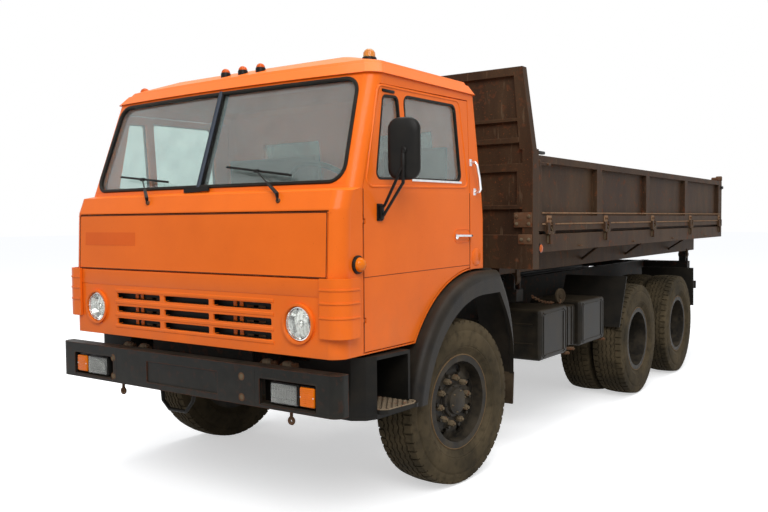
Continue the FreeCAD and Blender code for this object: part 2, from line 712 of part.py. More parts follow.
def bumper():
    """Front bumper: a deep channel with rounded ends and two lamp openings."""
    skin = D.bumper_skin
    back = D.bumper_back
    face = at(D.bumper_nose) + skin
    solid = box("BumperBar", (-D.bumper_half, D.bumper_half), (at(D.bumper_nose), at(back)),
                (D.bumper_low, D.bumper_top))
    doc.recompute()
    rounded = doc.addObject("Part::Fillet", "BumperRounded")
    rounded.Base = solid
    upright = [i for i, edge in enumerate(solid.Shape.Edges, start=1)
               if abs(edge.tangentAt(0).z) > 0.9 and edge.CenterOfMass.y < face.value]
    rounded.Edges = [(i, D.bumper_round.value, D.bumper_round.value) for i in upright]
    hollow = box("BumperHollow", (-D.bumper_half + skin, D.bumper_half - skin),
                 (at(D.bumper_nose) + skin, at(back) + 1),
                 (D.bumper_low + skin, D.bumper_top - skin))
    lamps = both([box("BumperLampHole", (D.lamp_box_in, D.lamp_box_out),
                      (at(D.bumper_nose) - 1, at(D.bumper_nose) + skin + 1),
                      (D.lamp_box_low, D.lamp_box_top))])
    plate = box("BumperPlate", (-300, 300), (at(D.bumper_nose) - 1, at(D.bumper_nose) + 6),
                (692, 818))
    shell = cut("BumperShell", rounded, [hollow, plate] + lamps)
    stays = both([box("BumperStay", (D.rail_out - 60, D.rail_out - 20),
                      (at(D.bumper_nose) + skin - 1, at(D.front_cross) - D.cross_half),
                      (D.rail_low + 30, D.bumper_top - 30))])
    return node("bumper", fuse("Bumper", [shell] + stays))


bumper()


def bumper_lamps():
    """Fog lamp and amber lamp blocks in the bumper's openings."""
    y = at(D.bumper_nose)
    back = y + D.bumper_skin + 40
    spans = ((D.lamp_box_in + 2, 682, 20), (682, 887, 8), (887, D.lamp_box_out - 2, 12))
    solids = [box(f"BumperLamp{i}", (low, high), (y + sunk, back),
                  (D.lamp_box_low + 7, D.lamp_box_top - 2))
              for i, (low, high, sunk) in enumerate(spans)]
    return node("bumper_lamps", group("BumperLamps", both([fuse("BumperLampSet", solids)])))


bumper_lamps()


# edges of the wing seen from the side: station, height and, where it is curved, the radius
# of the way to the next row
WING_EDGE = (
    (-621, 597, 835), (205, 1314), (400, 1314), (440, 1262, 830), (619, 721), (619, 597),
)
WING_OPENING = (
    (-517, 590, 702), (173, 1170), (380, 1170), (446, 1078, 800), (590, 725), (590, 590),
)


def wing_prism(name, rows, inset, x0, x1):
    """A prism along X of the wing's edge, drawn in all round by an inset."""
    outline = []
    for station, height, *radius in rows:
        side = 1 if station < D.arch_centre.value - 100 else -1 if station > 300 else 0
        fall = inset if height > 1200 else 0
        outline.append((at(station + side * inset), as_dim(height - fall),
                        *(size - inset for size in radius)))
    return prism(name, "yz", outline, x0, x1)


def rounded_edge(name, solid, x, radius):
    """Round the curved edges of a prism's end face that lies at an X."""
    doc.recompute()
    edges = [i for i, edge in enumerate(solid.Shape.Edges, start=1)
             if abs(edge.BoundBox.XMin - x.value) < 0.1 and abs(edge.BoundBox.XMax - x.value) < 0.1
             and edge.BoundBox.ZMax > D.wing_foot.value + 1]
    rounded = doc.addObject("Part::Fillet", name)
    rounded.Base = solid
    rounded.Edges = [(i, radius.value, radius.value) for i in edges]
    return rounded


def wings():
    """Front wheel arches: a curved strip over the tyre that rolls over into a deep outer lip."""
    inner_face = D.wing_face - D.wing_lip
    block = rounded_edge("WingRounded", wing_prism("WingBlock", WING_EDGE, 0, D.wing_inner,
                                                   D.wing_face), D.wing_face, D.wing_round)
    hollow = rounded_edge("WingHollowRounded", wing_prism(
        "WingHollow", WING_EDGE, D.wing_skin.value, D.wing_inner - 1, inner_face), inner_face,
        D.wing_round - D.wing_lip)
    opening = wing_prism("WingOpening", WING_OPENING, 0, inner_face - 60, D.wing_face + 1)
    skin = cut("WingSkin", block, [hollow, opening])
    flap = prism("WingFlap", "yz", [
        (at(592), 604), (at(606), 604), (at(590), 392), (at(576), 392)],
        D.wing_inner, D.wing_face - 12)
    stay = rod("WingStay", "x", (D.rail_out, at(606), 800), 16, D.wing_inner - D.rail_out + 30)
    return node("wings", group("Wings", both([fuse("Wing", [skin, flap, stay])])))


wings()


def steps():
    """Step wells ahead of the wheels: a housing open to the side, and a plate in its floor."""
    z = (D.step_low, D.step_high)
    housing = prism("StepHousing", "xy", [
        (D.step_inner, at(D.step_front)), (1040, at(D.step_front)), (1108, at(-992)),
        (1135, at(D.well_front)), (1150, at(D.step_back)), (D.step_inner, at(D.step_back))], *z)
    well = box("StepWell", (D.well_inner, 1200), (at(D.well_front), at(D.step_back) - 20),
               (D.step_top, D.step_high - 20))
    plate = prism("StepPlate", "xy", [
        (D.well_inner - 5, at(-760)), (1100, at(-926)), (1150, at(-930), -45), (1186, at(-900)),
        (1215, at(-690), -40), (1190, at(D.step_back)), (D.well_inner - 5, at(D.step_back))],
        D.step_top - 22, D.step_top)
    bracket = box("StepBracket", (D.rail_out, D.step_inner + 10), (at(-900), at(-840)), (770, 850))
    return node("steps", group("Steps", both([
        fuse("Step", [cut("StepShell", housing, [well]), plate, bracket])])))


steps()


def side_boxes():
    """Boxes and tanks hung on the frame: x0, x1, y0, y1, z0, z1."""
    blocks = (
        ("LeftFront", 700, 1150, 1094, 1600, 600, 975),
        ("LeftRear", 700, 1150, 1864, 2409, 615, 977),
        ("RightTank", -1150, -600, 1094, 2300, 560, 1010),
    )
    solids = []
    for name, x0, x1, y0, y1, z0, z1 in blocks:
        plain = box(f"{name}Box", (x0, x1), (at(y0), at(y1)), (z0, z1))
        tank = doc.addObject("Part::Fillet", f"{name}Rounded")
        tank.Base = plain
        tank.Edges = [(i, 26, 26) for i in range(1, 13)]
        near, far = (D.rail_out, as_dim(x0 + 1)) if x0 > 0 else (as_dim(x1 - 1), -D.rail_out)
        arms = [box(f"{name}Arm{i}", (near, far), (at(y), at(y + 60)), (780, 860))
                for i, y in enumerate((y0 + 60, y1 - 120))]
        solids.append(fuse(f"{name}Hung", [tank] + arms))
    return node("side_boxes", group("SideBoxes", solids))


side_boxes()


def rear_guards():
    """Mud guards ahead of and behind the driven wheels, on bars across the frame."""
    rows = (  # name, station and height of the foot, then of the head
        ("Ahead", 2660, 680, 2850, 1120),
        ("Behind", 5115, 655, 5100, 1080),
    )
    bar_z = 900
    solids = []
    for name, foot, low, head, top in rows:
        sheet = prism(f"Guard{name}Sheet", "yz", [
            (at(foot), low), (at(foot) + 12, low), (at(head) + 12, top), (at(head), top)],
            D.twin_in - D.tyre_half, 1196)
        y = at(foot + (head - foot) * (bar_z - low) / (top - low)) + 6
        carrier = rod(f"Guard{name}Bar", "x", (D.rail_out, y, bar_z), 20, D.twin_in - 300)
        solids.append(fuse(f"Guard{name}", [sheet, carrier]))
    return node("rear_guards", group("RearGuards", both(solids)))


rear_guards()


def tail_bar():
    """Rear cross bar with its lamp boxes."""
    y = at(D.frame_tail)
    pieces = [box("TailBar", (-1000, 1000), (y, y + 50), (D.rail_low + 20, D.rail_low + 110))]
    bar_solid = cut("TailBarCut", pieces[0], [box("TailBarGap", (-120, 120), (y - 1, y + 51),
                                                  (700, 900))])
    lamps = both([box("TailLamp", (700, 960), (y + 50, y + 90), (D.rail_low, D.rail_low + 130))])
    return node("tail_bar", group("TailBarBoth", [fuse("TailBarLamps", [bar_solid] + lamps)]))


tail_bar()

# ---------------------------------------------------------------- cab

def cab_section(z, centre, corner_x, corner, half, rear, inset=0):
    """Plan of the cab at one height: bowed front, rounded corners, straight sides and rear."""
    y0 = D.axle_front.value
    half = half - inset
    corner_x = corner_x - inset
    centre = y0 + centre + inset
    corner = y0 + corner + inset
    rear = y0 + rear - inset
    side_y = corner + (half - corner_x) * 1.6
    back = 40
    left = [
        Vector(corner_x, corner, z),
        Vector(half - (half - corner_x) * 0.25, corner + (side_y - corner) * 0.32, z),
        Vector(half, side_y, z),
        Vector(half, rear - back, z),
        Vector(half - back * 0.29, rear - back * 0.29, z),
        Vector(half - back, rear, z),
    ]
    right = [Vector(-p.x, p.y, p.z) for p in reversed(left)]
    front = Part.Arc(right[-1], Vector(0, centre, z), left[0])
    edges = [
        front,
        Part.Arc(left[0], left[1], left[2]), Part.LineSegment(left[2], left[3]),
        Part.Arc(left[3], left[4], left[5]), Part.LineSegment(left[5], right[0]),
        Part.Arc(right[0], right[1], right[2]), Part.LineSegment(right[2], right[3]),
        Part.Arc(right[3], right[4], right[5]),
    ]
    return Part.Wire([edge.toShape() for edge in edges])


# height, front on the centre line, corner's x, corner's station, half width, rear station
CAB_SECTIONS = (
    (900, -1222, 1040, -1219, 1104, 335),
    (1300, -1222, 1040, -1219, 1104, 335),
    (1650, -1208, 1040, -1205, 1104, 335),
    (1705, -1204, 1040, -1201, 1104, 329),
    (1800, -1170, 1040, -1164, 1104, 317),
    (1815, -1128, 1050, -1078, 1103, 315),
    (2440, -914, 1020, -862, 1082, 240),
    (2520, -850, 970, -800, 1035, 215),
    (2590, -650, 700, -640, 760, 20),
)


def cab_block(inset, lowest):
    """The cab's whole outer form, or its inside where inset is the wall."""
    wires = []
    for z, *row in CAB_SECTIONS:
        height = max(z, lowest) if z < 1000 else z
        if z > 2500:
            height = z - inset
        wires.append(cab_section(height, *row, inset=inset))
    return Part.makeLoft(wires, True, True)


def side_face(outline, x, length):
    """A prism along X from an outline of points (station, z) and arcs through a middle point."""
    y0 = D.axle_front.value
    points = [Vector(x, y0 + row[0], row[1]) for row in outline]
    edges = []
    for i, row in enumerate(outline):
        after = points[(i + 1) % len(points)]
        if len(row) == 4:
            middle = Vector(x, y0 + row[2], row[3])
            edges.append(Part.Arc(points[i], middle, after).toShape())
        else:
            edges.append(Part.LineSegment(points[i], after).toShape())
    return Part.Face(Part.Wire(edges)), Vector(length, 0, 0)


def arch_point(radius, station):
    """Height of the wheel arch's circle at a station."""
    return D.arch_height.value + math.sqrt(radius ** 2 - (station - D.arch_centre.value) ** 2)


def below_cab(grow):
    """What the wheel arch and the engine tunnel take out of the cab, grown by a wall."""
    y0 = D.axle_front.value
    radius = D.arch_radius.value + grow
    floor = D.cab_low.value + grow
    rise = floor - D.arch_height.value
    start = D.arch_centre.value - math.sqrt(radius ** 2 - rise ** 2)
    top = D.arch_top.value + grow
    middle = D.arch_centre.value - radius * math.cos(math.radians(55))
    outline = [
        (-1500, 800), (-1500, floor),
        (start, floor, middle, arch_point(radius, middle)),
        (D.arch_centre.value, top), (600, top), (600, 800),
    ]
    face, run = side_face(outline, -1300, 2600)
    arch = face.extrude(run)
    half = D.tunnel_half.value + grow
    air = D.air_box_half.value + grow
    tunnel = Part.makeBox(2 * half, 1700, D.tunnel_top.value + grow - 700,
                          Vector(-half, y0 - 1170, 700))
    box_air = Part.makeBox(2 * air, 90 + grow, D.tunnel_top.value - 20 + grow - 700,
                           Vector(-air, y0 - 1170, 700))
    return arch.fuse([tunnel, box_air])


# the door's outline: station, height, and a middle point where an arc starts
def door_outline():
    """Outer edge of the door, over the wheel arch and up the windscreen pillar."""
    radius = D.arch_radius.value + 8
    low = D.door_low.value
    start = D.arch_centre.value - math.sqrt(radius ** 2 - (low - D.arch_height.value) ** 2)
    rear = D.door_rear.value
    middle = D.arch_centre.value - radius * math.cos(math.radians(60))
    front = D.door_front.value
    return [
        (front, low), (start, low, middle, arch_point(radius, middle)),
        (rear, arch_point(radius, rear)), (rear, 2395), (-812, 2380), (front, D.belt.value),
    ]


def hatch_pins(grow, reach):
    """Short pins at the hatch's top corners, or the bores they turn in."""
    pins = []
    for side in (1, -1):
        start = Vector(side * (D.hatch_half.value - 14), D.axle_front.value
                       + D.hatch_pin_station.value, D.hatch_pin_z.value)
        length = 14 + reach if reach else 30
        pins.append(Part.makeCylinder(D.hinge_pin.value + grow, length, start,
                                      Vector(side, 0, 0)))
    return pins


DOOR_HINGE_HEIGHTS = (1120, 1640)


def door_lugs():
    """Two lugs of the shell on each side, with the pins that the doors turn on."""
    y = D.axle_front.value + D.door_pin_station.value
    front = D.axle_front.value + D.door_front.value
    x = D.door_pin_x.value
    lugs = []
    for side in (1, -1):
        for z in DOOR_HINGE_HEIGHTS:
            low = x - 6 if side > 0 else -x - 4
            lugs.append(Part.makeBox(10, y + 8 - front + 3, 16, Vector(low, front - 3, z - 8)))
            lugs.append(Part.makeCylinder(D.hinge_pin.value, 60, Vector(side * x, y, z - 30)))
    return lugs


def door_notches():
    """What the left door leaves out for its lugs and pins."""
    y = D.axle_front.value + D.door_pin_station.value
    x = D.door_pin_x.value
    notches = []
    for z in DOOR_HINGE_HEIGHTS:
        notches.append(Part.makeBox(60, 26, 28, Vector(x - 46, y - 8, z - 14)))
        notches.append(Part.makeCylinder(D.hinge_pin.value + D.running_fit.value, 70,
                                         Vector(x, y, z - 35)))
    return notches


# the grille's slots: low and high edges of the rows, edges across of the columns
GRILLE_ROWS = ((1012, 1051), (1089, 1127), (1172, 1208))
GRILLE_COLUMNS = ((-648, -243), (-206, 177), (210, 655))


def hinge_ears():
    """Ears behind the front panel, each with the pin that the cab tilts on."""
    hinge_y = D.axle_front.value + D.cab_hinge_station.value
    z = D.cab_hinge_height.value
    pieces = []
    for side in (1, -1):
        inner = D.rail_out.value + D.part_gap.value
        low = inner if side > 0 else -inner - 40
        pieces.append(Part.makeBox(40, 86, 60, Vector(low, hinge_y - 56, z - 20)))
        pieces.append(Part.makeCylinder(12, 75, Vector(side * (inner - 39), hinge_y, z),
                                        Vector(side, 0, 0)))
    return pieces


def roof_lip():
    """The roof cap's edge, which stands out over the screen and the doors."""
    low = cab_section(2438, *CAB_SECTIONS[6][1:], inset=-14)
    high = cab_section(2496, -869, 985, -819, 1049, 222, inset=-9)
    return Part.makeLoft([low, high], True, True)


def bezels():
    """Raised rings round the headlamps."""
    rings = []
    for side in (1, -1):
        centre = Vector(side * D.lamp_x.value, D.axle_front.value - 1236, D.lamp_z.value)
        rings.append(Part.makeCylinder(D.lamp_radius.value + 15, 24, centre, Vector(0, 1, 0)))
    return rings


def cab_shapes():
    """Shell, both doors and the hatch, cut from one hollow block."""
    y0 = D.axle_front.value
    wall = D.cab_wall.value
    gap = D.part_gap.value
    outer = cab_block(0, 900).cut(below_cab(0))
    inner = cab_block(wall, 900 + wall).cut(below_cab(wall))
    hollow = outer.cut(inner)
    face, run = side_face(door_outline(), 900, 300)
    leaf_tool = face.makeOffset2D(-gap).extrude(run)
    side_wall = outer.cut(cab_block(wall, 900 + wall))
    door_tool = face.extrude(run).cut(cab_block(wall + gap, 900 + wall + gap))
    cutters = [door_tool, door_tool.mirror(Vector(), Vector(1, 0, 0))]
    leaf = side_wall.common(leaf_tool)
    windows = [
        [(-787, 2318), (-645, 2325), (-602, 1875), (-874, 1868)],
        [(-587, 2338), (-20, 2345), (30, 1882), (-546, 1878)],
    ]
    panes = []
    for outline in windows:
        pane_face, pane_run = side_face(outline, 900, 300)
        panes.append(pane_face.extrude(pane_run))
    thin = cab_block(15, 915).cut(cab_block(21, 921))
    glass_slab = thin.common(Part.makeCompound(panes))
    leaf = leaf.cut(Part.makeCompound(panes))
    hatch_box = Part.makeBox(2 * D.hatch_half.value, 200,
                             D.hatch_top.value - D.hatch_low.value,
                             Vector(-D.hatch_half.value, y0 - 1300, D.hatch_low.value))
    hatch_hole = Part.makeBox(2 * (D.hatch_half.value + gap), 200,
                              D.hatch_top.value - D.hatch_low.value + 2 * gap,
                              Vector(-D.hatch_half.value - gap, y0 - 1300,
                                     D.hatch_low.value - gap))
    hatch = hollow.common(hatch_box)
    slots = []
    for low, high in GRILLE_ROWS:
        for left, right in GRILLE_COLUMNS:
            slot = Part.makeBox(right - left, 200, high - low, Vector(left, y0 - 1300, low))
            corners = [edge for edge in slot.Edges if abs(edge.tangentAt(0).y) > 0.9]
            slots.append(slot.makeFillet(9, corners))
    screens = []
    for side in (1, -1):
        corners = [(22, 1848), (1030, 1848), (992, 2408), (22, 2418)]
        points = [Vector(side * x, y0 - 1300, z) for x, z in corners]
        wire = Part.makePolygon(points + points[:1])
        screens.append(Part.Face(wire).extrude(Vector(0, 700, 0)))
    rear_panes = [Part.makeBox(560, 300, 350, Vector(x, y0 + 150, 1880)) for x in (-760, 200)]
    lamp_holes = []
    for side in (1, -1):
        lamp_holes.append(Part.makeCylinder(D.lamp_radius.value, 130,
                                            Vector(side * D.lamp_x.value, y0 - 1300,
                                                   D.lamp_z.value), Vector(0, 1, 0)))
    shell = hollow.cut(cutters + [hatch_hole] + slots + screens + rear_panes + lamp_holes)
    glass_all = thin.common(Part.makeCompound(screens + rear_panes))
    shell = shell.fuse([roof_lip().cut(cab_block(wall, 900 + wall))] + bezels())
    shell = shell.cut(Part.makeCompound(lamp_holes))
    shell = shell.fuse(hinge_ears() + door_lugs() + hatch_pins(0, 20))
    leaf = leaf.cut(door_notches())
    hatch = hatch.cut(hatch_pins(D.running_fit.value, 0))
    return SimpleNamespace(outer=cab_block(0, 900), shell=shell, leaf=leaf, pane=glass_slab,
                           hatch=hatch, glass=glass_all)


def feature(name, shape):
    """A sub-part whose shape is worked out above."""
    obj = doc.addObject("Part::Feature", name.replace("_", " ").title().replace(" ", ""))
    obj.Shape = shape
    return node(name, obj)


CAB = cab_shapes()
FLIP = (Vector(), Vector(1, 0, 0))
feature("cab_shell", CAB.shell)
feature("cab_glass", CAB.glass)
feature("front_hatch", CAB.hatch)
feature("door_left", CAB.leaf)
feature("door_right", CAB.leaf.mirror(*FLIP))
feature("door_glass_left", CAB.pane)
feature("door_glass_right", CAB.pane.mirror(*FLIP))


def headlamps():
    """Round headlamps, domed a little, in the front panel."""
    y = at(-1226)
    lens = rod("HeadlampLens", "y", (D.lamp_x, y, D.lamp_z), D.lamp_radius - 0.5, 60)
    return node("headlamps", group("Headlamps", both([lens])))


headlamps()


def seats():
    """Driver's seat and the wider passenger seat on the arch floor."""
    solids = []
    floor = D.arch_top + D.cab_wall
    for name, x0, x1 in (("Driver", 480, 960), ("Passenger", -960, -100)):
        solids.append(fuse(f"{name}Seat", [
            box(f"{name}Cushion", (x0, x1), (at(-420), at(110)), (floor + 60, floor + 210)),
            box(f"{name}Base", (x0 + 60, x1 - 60), (at(-20), at(100)), (floor, floor + 70)),
            box(f"{name}Back", (x0, x1), (at(20), at(140)), (floor + 180, 2120)),
        ]))
    return node("seats", group("Seats", solids))


seats()


def dashboard():
    """Dashboard across the cab, steering column and wheel."""
    y0 = D.axle_front
    panel = fuse("DashPanel", [
        box("DashEnds", (-1064, 1064), (at(-1058), at(-1020)), (1500, 1780)),
        box("DashTop", (-1030, 1030), (at(-1110), at(-880)), (1400, 1780)),
    ])
    column = bar("Column", (640, y0 - 930, 1560), (640, y0 - 700, 1800), 28)
    wheel = doc.addObject("Part::Torus", "SteeringWheel")
    wheel.Radius1 = 240
    wheel.Radius2 = 16
    tilt = Rotation(Vector(0, 0, 1), Vector(0, 230, 240))
    place(wheel, 640, y0 - 700, 1800, turn=tilt)
    spoke = box("Spoke", (640 - 235, 640 + 235), (y0 - 20 - 700, y0 + 20 - 700), (1790, 1810))
    return node("dashboard", fuse("Dashboard", [panel, column, wheel, spoke]))


dashboard()


def vane(name, grow, low, high):
    """A stretch of the deflector's bent sheet, with its outer face moved out."""
    y0 = D.axle_front
    outline = [
        (1000, y0 - 1240 - grow), (1062, y0 - 1240 - grow, -88 - grow),
        (1150 + grow, y0 - 1152), (1150 + grow, y0 - 1090),
        (1134, y0 - 1090), (1134, y0 - 1152, 72), (1062, y0 - 1224), (1000, y0 - 1224),
    ]
    return prism(name, "xy", outline, low, high)


def deflectors():
    """Wind deflectors on the cab's two front corners, with three ribs across."""
    sheets = [vane("Deflector", 0, 1046, 1352)]
    sheets += [vane(f"DeflectorRib{i}", 4, z, z + 9) for i, z in enumerate((1148, 1222, 1290))]
    stays = [box(f"DeflectorStay{i}", (D.cab_half, 1140), (at(-1115), at(-1095)), (z, z + 24))
             for i, z in enumerate((1090, 1310))]
    return node("deflectors", group("Deflectors", both([fuse("DeflectorSet", sheets + stays)])))


deflectors()


def roof_lamps():
    """Marker lamps along the roof's front edge and a beacon on the left corner."""
    rows = (  # x, station, radius, top
        (-150, -745, 31, 2604), (0, -745, 31, 2604), (150, -745, 31, 2604),
        (-934, -745, 36, 2560), (935, -700, 42, 2600),
    )
    y0 = D.axle_front.value
    lamps = [Part.makeCylinder(radius, top - 2400, Vector(x, y0 + station, 2400))
             for x, station, radius, top in rows]
    return feature("roof_lamps", Part.makeCompound(lamps).cut(CAB.outer))


roof_lamps()


def screen_station(x, z):
    """Station of the windscreen's outer face at a place across and up."""
    low, high = CAB_SECTIONS[5], CAB_SECTIONS[6]
    part = (z - low[0]) / (high[0] - low[0])
    centre = low[1] + (high[1] - low[1]) * part
    corner = low[3] + (high[3] - low[3]) * part
    return centre + (corner - centre) * (x / low[2]) ** 2


def wipers():
    """Two wipers parked on the screen: pivot, arm, blade."""
    rows = (  # pivot x, blade from x and z, blade to x and z
        (-376, -770, 1935, -270, 1885), (685, 210, 1955, 700, 1890),
    )
    solids = []
    for pivot, x0, z0, x1, z1 in rows:
        spots = [(x, z, screen_station(x, z) - 16) for x, z in ((x0, z0), (x1, z1))]
        ends = [Vector(x, D.axle_front.value + station, z) for x, z, station in spots]
        middle = (ends[0] + ends[1]) * 0.5 + Vector(0, -16, 0)
        root = Vector(pivot, D.axle_front.value - 1170, 1790)
        pieces = [round_bar(Vector(pivot, root.y + 20, 1740), root, 15),
                  round_bar(root, middle, 7), round_bar(*ends, 9)]
        solids.append(pieces[0].fuse(pieces[1:]).cut(CAB.outer))
    return feature("wipers", Part.makeCompound(solids))


def round_bar(start, end, radius):
    """A round bar between two points, with a ball at each end."""
    run = end - start
    bar_shape = Part.makeCylinder(radius, run.Length, start, run)
    return bar_shape.fuse([Part.makeSphere(radius, start), Part.makeSphere(radius, end)])


wipers()


def mirror():
    """Left mirror: bracket on the door, two arms that meet in an upright tube, head."""
    y0 = D.axle_front
    plain = box("MirrorHeadBlock", (1180, 1320), (y0 - 830, y0 - 796), (1874, 2169))
    doc.recompute()
    head = doc.addObject("Part::Fillet", "MirrorHead")
    head.Base = plain
    head.Edges = [(i, 45, 45) for i, edge in enumerate(plain.Shape.Edges, start=1)
                  if abs(edge.tangentAt(0).y) > 0.9]
    base = box("MirrorBase", (D.cab_half + 0.5, 1130), (y0 - 880, y0 - 830), (1640, 1735))
    tube_x = 1250
    tube = rod("MirrorTube", "z", (tube_x, y0 - 838, 1830), 10, 190)
    arms = [bar(f"MirrorArm{i}", (1122, y0 - 860 + 20 * i, low), (tube_x, y0 - 838, high), 9)
            for i, (low, high) in enumerate(((1715, 1925), (1660, 1838)))]
    return node("mirror_left", fuse("Mirror", [head, tube, base] + arms))


mirror()

# ---------------------------------------------------------------- bed

BRACE_STATIONS = (2437, 3574, 5048)
# the front wall's bars: low and high edges
WALL_BARS = ((1715, 1741), (1974, 2029), (2171, 2206), (2319, 2341), (2632, 2690))


def front_wall():
    """The tall wall behind the cab: sheet, bars across it, corner posts and the beam below."""
    nose = at(D.bed_nose)
    back = nose + D.wall_thick
    low = D.floor_top - 1
    top, shoulder = D.wall_top, D.wall_shoulder
    sheet = prism("FrontSheet", "xz", [
        (-D.post_in, low), (D.post_in, low), (D.post_in, shoulder), (D.wall_top_half - 25, top),
        (25 - D.wall_top_half, top), (-D.post_in, shoulder)], nose + D.wall_sheet, back)
    pieces = [sheet]
    for i, (foot, head) in enumerate(WALL_BARS):
        half = D.post_in if head < shoulder.value else D.wall_top_half
        pieces.append(box(f"WallBar{i}", (-half, half), (nose, back - 5), (foot, head)))
    edge = prism("WallEdge", "xz", [
        (D.post_in - 20, shoulder - 1), (D.post_out, shoulder - 1), (D.wall_top_half, top),
        (D.wall_top_half - 70, top)], nose, back)
    post = box("FrontPost", (D.post_in, D.post_out), (nose, at(D.board_nose) - D.part_gap),
               (D.front_beam_low, shoulder))
    stile = box("WallStile", (1138, D.post_in + 1), (nose, back - 5), (1741, 1974))
    pieces += both([edge, post, stile])
    pieces.append(box("FrontBeam", (-D.post_in - 1, D.post_in + 1), (nose, nose + D.front_beam_deep),
                      (D.front_beam_low, low + 1)))
    return pieces


def bed_tray():
    """Floor, its rails and cross members, the underframe and the two end walls."""
    nose = at(D.bed_nose)
    tail = at(D.bed_tail)
    half = D.bed_half
    rail_in = half - D.floor_rail_wide
    z = (D.floor_rail_low, D.floor_top)
    pieces = [
        box("FloorSheet", (-half, half), (nose, tail), (D.floor_top - D.floor_skin, D.floor_top)),
    ]
    pieces += both([
        box("FloorRail", (rail_in, half), (nose, tail), z),
        box("Longitudinal", (D.long_in, D.long_in + D.long_wide), (nose + 120, tail - 120),
            (D.long_low, D.floor_rail_low + 1)),
    ])
    count = 12
    first = nose.value + 40
    pitch = (tail.value - nose.value - 80) / (count - 1)
    for i in range(count):
        y = first + pitch * i
        pieces.append(box(f"FloorCross{i}", (-rail_in - 1, rail_in + 1), (y - 30, y + 30),
                          (D.floor_rail_low, D.floor_top - D.floor_skin + 1)))
    pieces += both([bar(f"Brace{i}", (D.long_in + D.long_wide - 5, at(station), D.long_low + 45),
                        (rail_in + 30, at(station) - 260, D.floor_rail_low + 8), 11)
                    for i, station in enumerate(BRACE_STATIONS)])
    pieces.append(box("TailWall", (-half, half), (tail - D.wall_thick, tail),
                      (z[1] - 1, D.board_top)))
    pieces += front_wall()
    pieces += pivot_eyes() + ram_cheeks() + hinge_leaves("Bed", False)
    return node("bed_tray", cut("BedTray", fuse("BedSolid", pieces), pivot_holes()))


def pivot_eyes():
    """Eyes under the bed: round ones on the left pins, open forks over the right pins."""
    eyes = []
    half_eye = D.eye_wide * 0.5
    for label, station in (("Front", D.pivot_front), ("Rear", D.pivot_rear)):
        y = at(station)
        eye = rod(f"{label}Eye", "y", (D.pivot_x, y - half_eye, D.pivot_z), D.pivot_eye,
                  D.eye_wide)
        stem = box(f"{label}Stem", (D.pivot_x - 50, D.pivot_x + 50), (y - half_eye, y + half_eye),
                   (D.pivot_z, D.long_low + 20))
        eyes += both([eye, stem])
    return eyes


def pivot_holes():
    """Bores for the left pins, and slots that let the bed lift off the right pins."""
    holes = []
    for label, station in (("Front", D.pivot_front), ("Rear", D.pivot_rear)):
        y = at(station)
        start = y - D.eye_wide
        holes.append(rod(f"{label}EyeBore", "y", (D.pivot_x, start, D.pivot_z),
                         D.pivot_radius + D.running_gap, 2 * D.eye_wide))
        wide = D.pivot_radius + D.part_gap
        holes.append(rod(f"{label}Saddle", "y", (-D.pivot_x, start, D.pivot_z), wide,
                         2 * D.eye_wide))
        holes.append(box(f"{label}Slot", (-D.pivot_x - wide, -D.pivot_x + wide),
                         (start, y + D.eye_wide), (D.pivot_z - 100, D.pivot_z)))
    return holes


def ram_cheeks():
    """Cheeks under the floor on both sides of the ram's eye."""
    y = at(D.ram_station)
    pieces = []
    for i, (low, high) in enumerate(((-D.ram_cheek - D.cheek_thick, -D.ram_cheek),
                                     (D.ram_cheek, D.ram_cheek + D.cheek_thick))):
        pieces.append(box(f"RamCheek{i}", (-70, 70), (y + low, y + high),
                          (D.ram_eye - 45, D.floor_rail_low + 5)))
    pieces.append(box("RamPlate", (-250, 250), (y - 320, y + 320), (D.floor_rail_low,
                                                                   D.floor_top - 5)))
    return pieces


HINGE_STATIONS = (1048, 2196, 3460, 4796, 6090)


def hinge_leaves(name, on_board):
    """Hinge knuckles along the floor rail: the bed has the middle one, the board the outer two."""
    pieces = []
    radius = D.board_knuckle
    for i, station in enumerate(HINGE_STATIONS):
        y = at(station)
        spans = ((-62, -24), (24, 62)) if on_board else ((-20, 20),)
        for j, (low, high) in enumerate(spans):
            part = f"{name}Hinge{i}{j}"
            leaf_z = (D.board_hinge_z, D.board_low + 60) if on_board else (D.floor_top - 70,
                                                                          D.board_hinge_z)
            pieces.append(rod(f"{part}Knuckle", "y", (D.board_hinge_x, y + low, D.board_hinge_z),
                              radius, high - low))
            pieces.append(box(f"{part}Leaf", (D.bed_half - 1, D.board_hinge_x + radius),
                              (y + low, y + high), leaf_z))
        if not on_board:
            pieces.append(rod(f"{name}Pin{i}", "y", (D.board_hinge_x, y - 62, D.board_hinge_z), 5,
                              124))
    return both(pieces) if not on_board else pieces


bed_tray()


def side_board():
    """Drop side: sheet, top rail, lower channel, stiles and hinge knuckles."""
    half = D.bed_half
    inner = half - D.board_thick
    nose = at(D.board_nose)
    tail = at(D.board_tail)
    solid = box("BoardSolid", (inner, half), (nose, tail), (D.board_low, D.board_top))
    stiles = (833, 930, 2000, 2110, 3270, 3366, 4590, 4698, 6080, 6170)
    panels = []
    for i in range(1, len(stiles) - 1, 2):
        panels.append(box(f"BoardPanel{i}", (inner + D.board_skin, half + 1),
                          (at(stiles[i]), at(stiles[i + 1])), (1668, D.board_top - 50)))
    board = cut("BoardFrame", solid, panels)
    pieces = [board] + hinge_leaves("Board", True)
    holes = []
    for i, station in enumerate(HINGE_STATIONS):
        holes.append(rod(f"BoardHole{i}", "y", (D.board_hinge_x, at(station) - 70,
                                                D.board_hinge_z), 5 + D.running_gap, 140))
    return cut("Board", fuse("BoardFused", pieces), holes)


BOARD = side_board()
node("side_board_left", BOARD)
node("side_board_right", mirrored(BOARD))

# ---------------------------------------------------------------- tipping ram

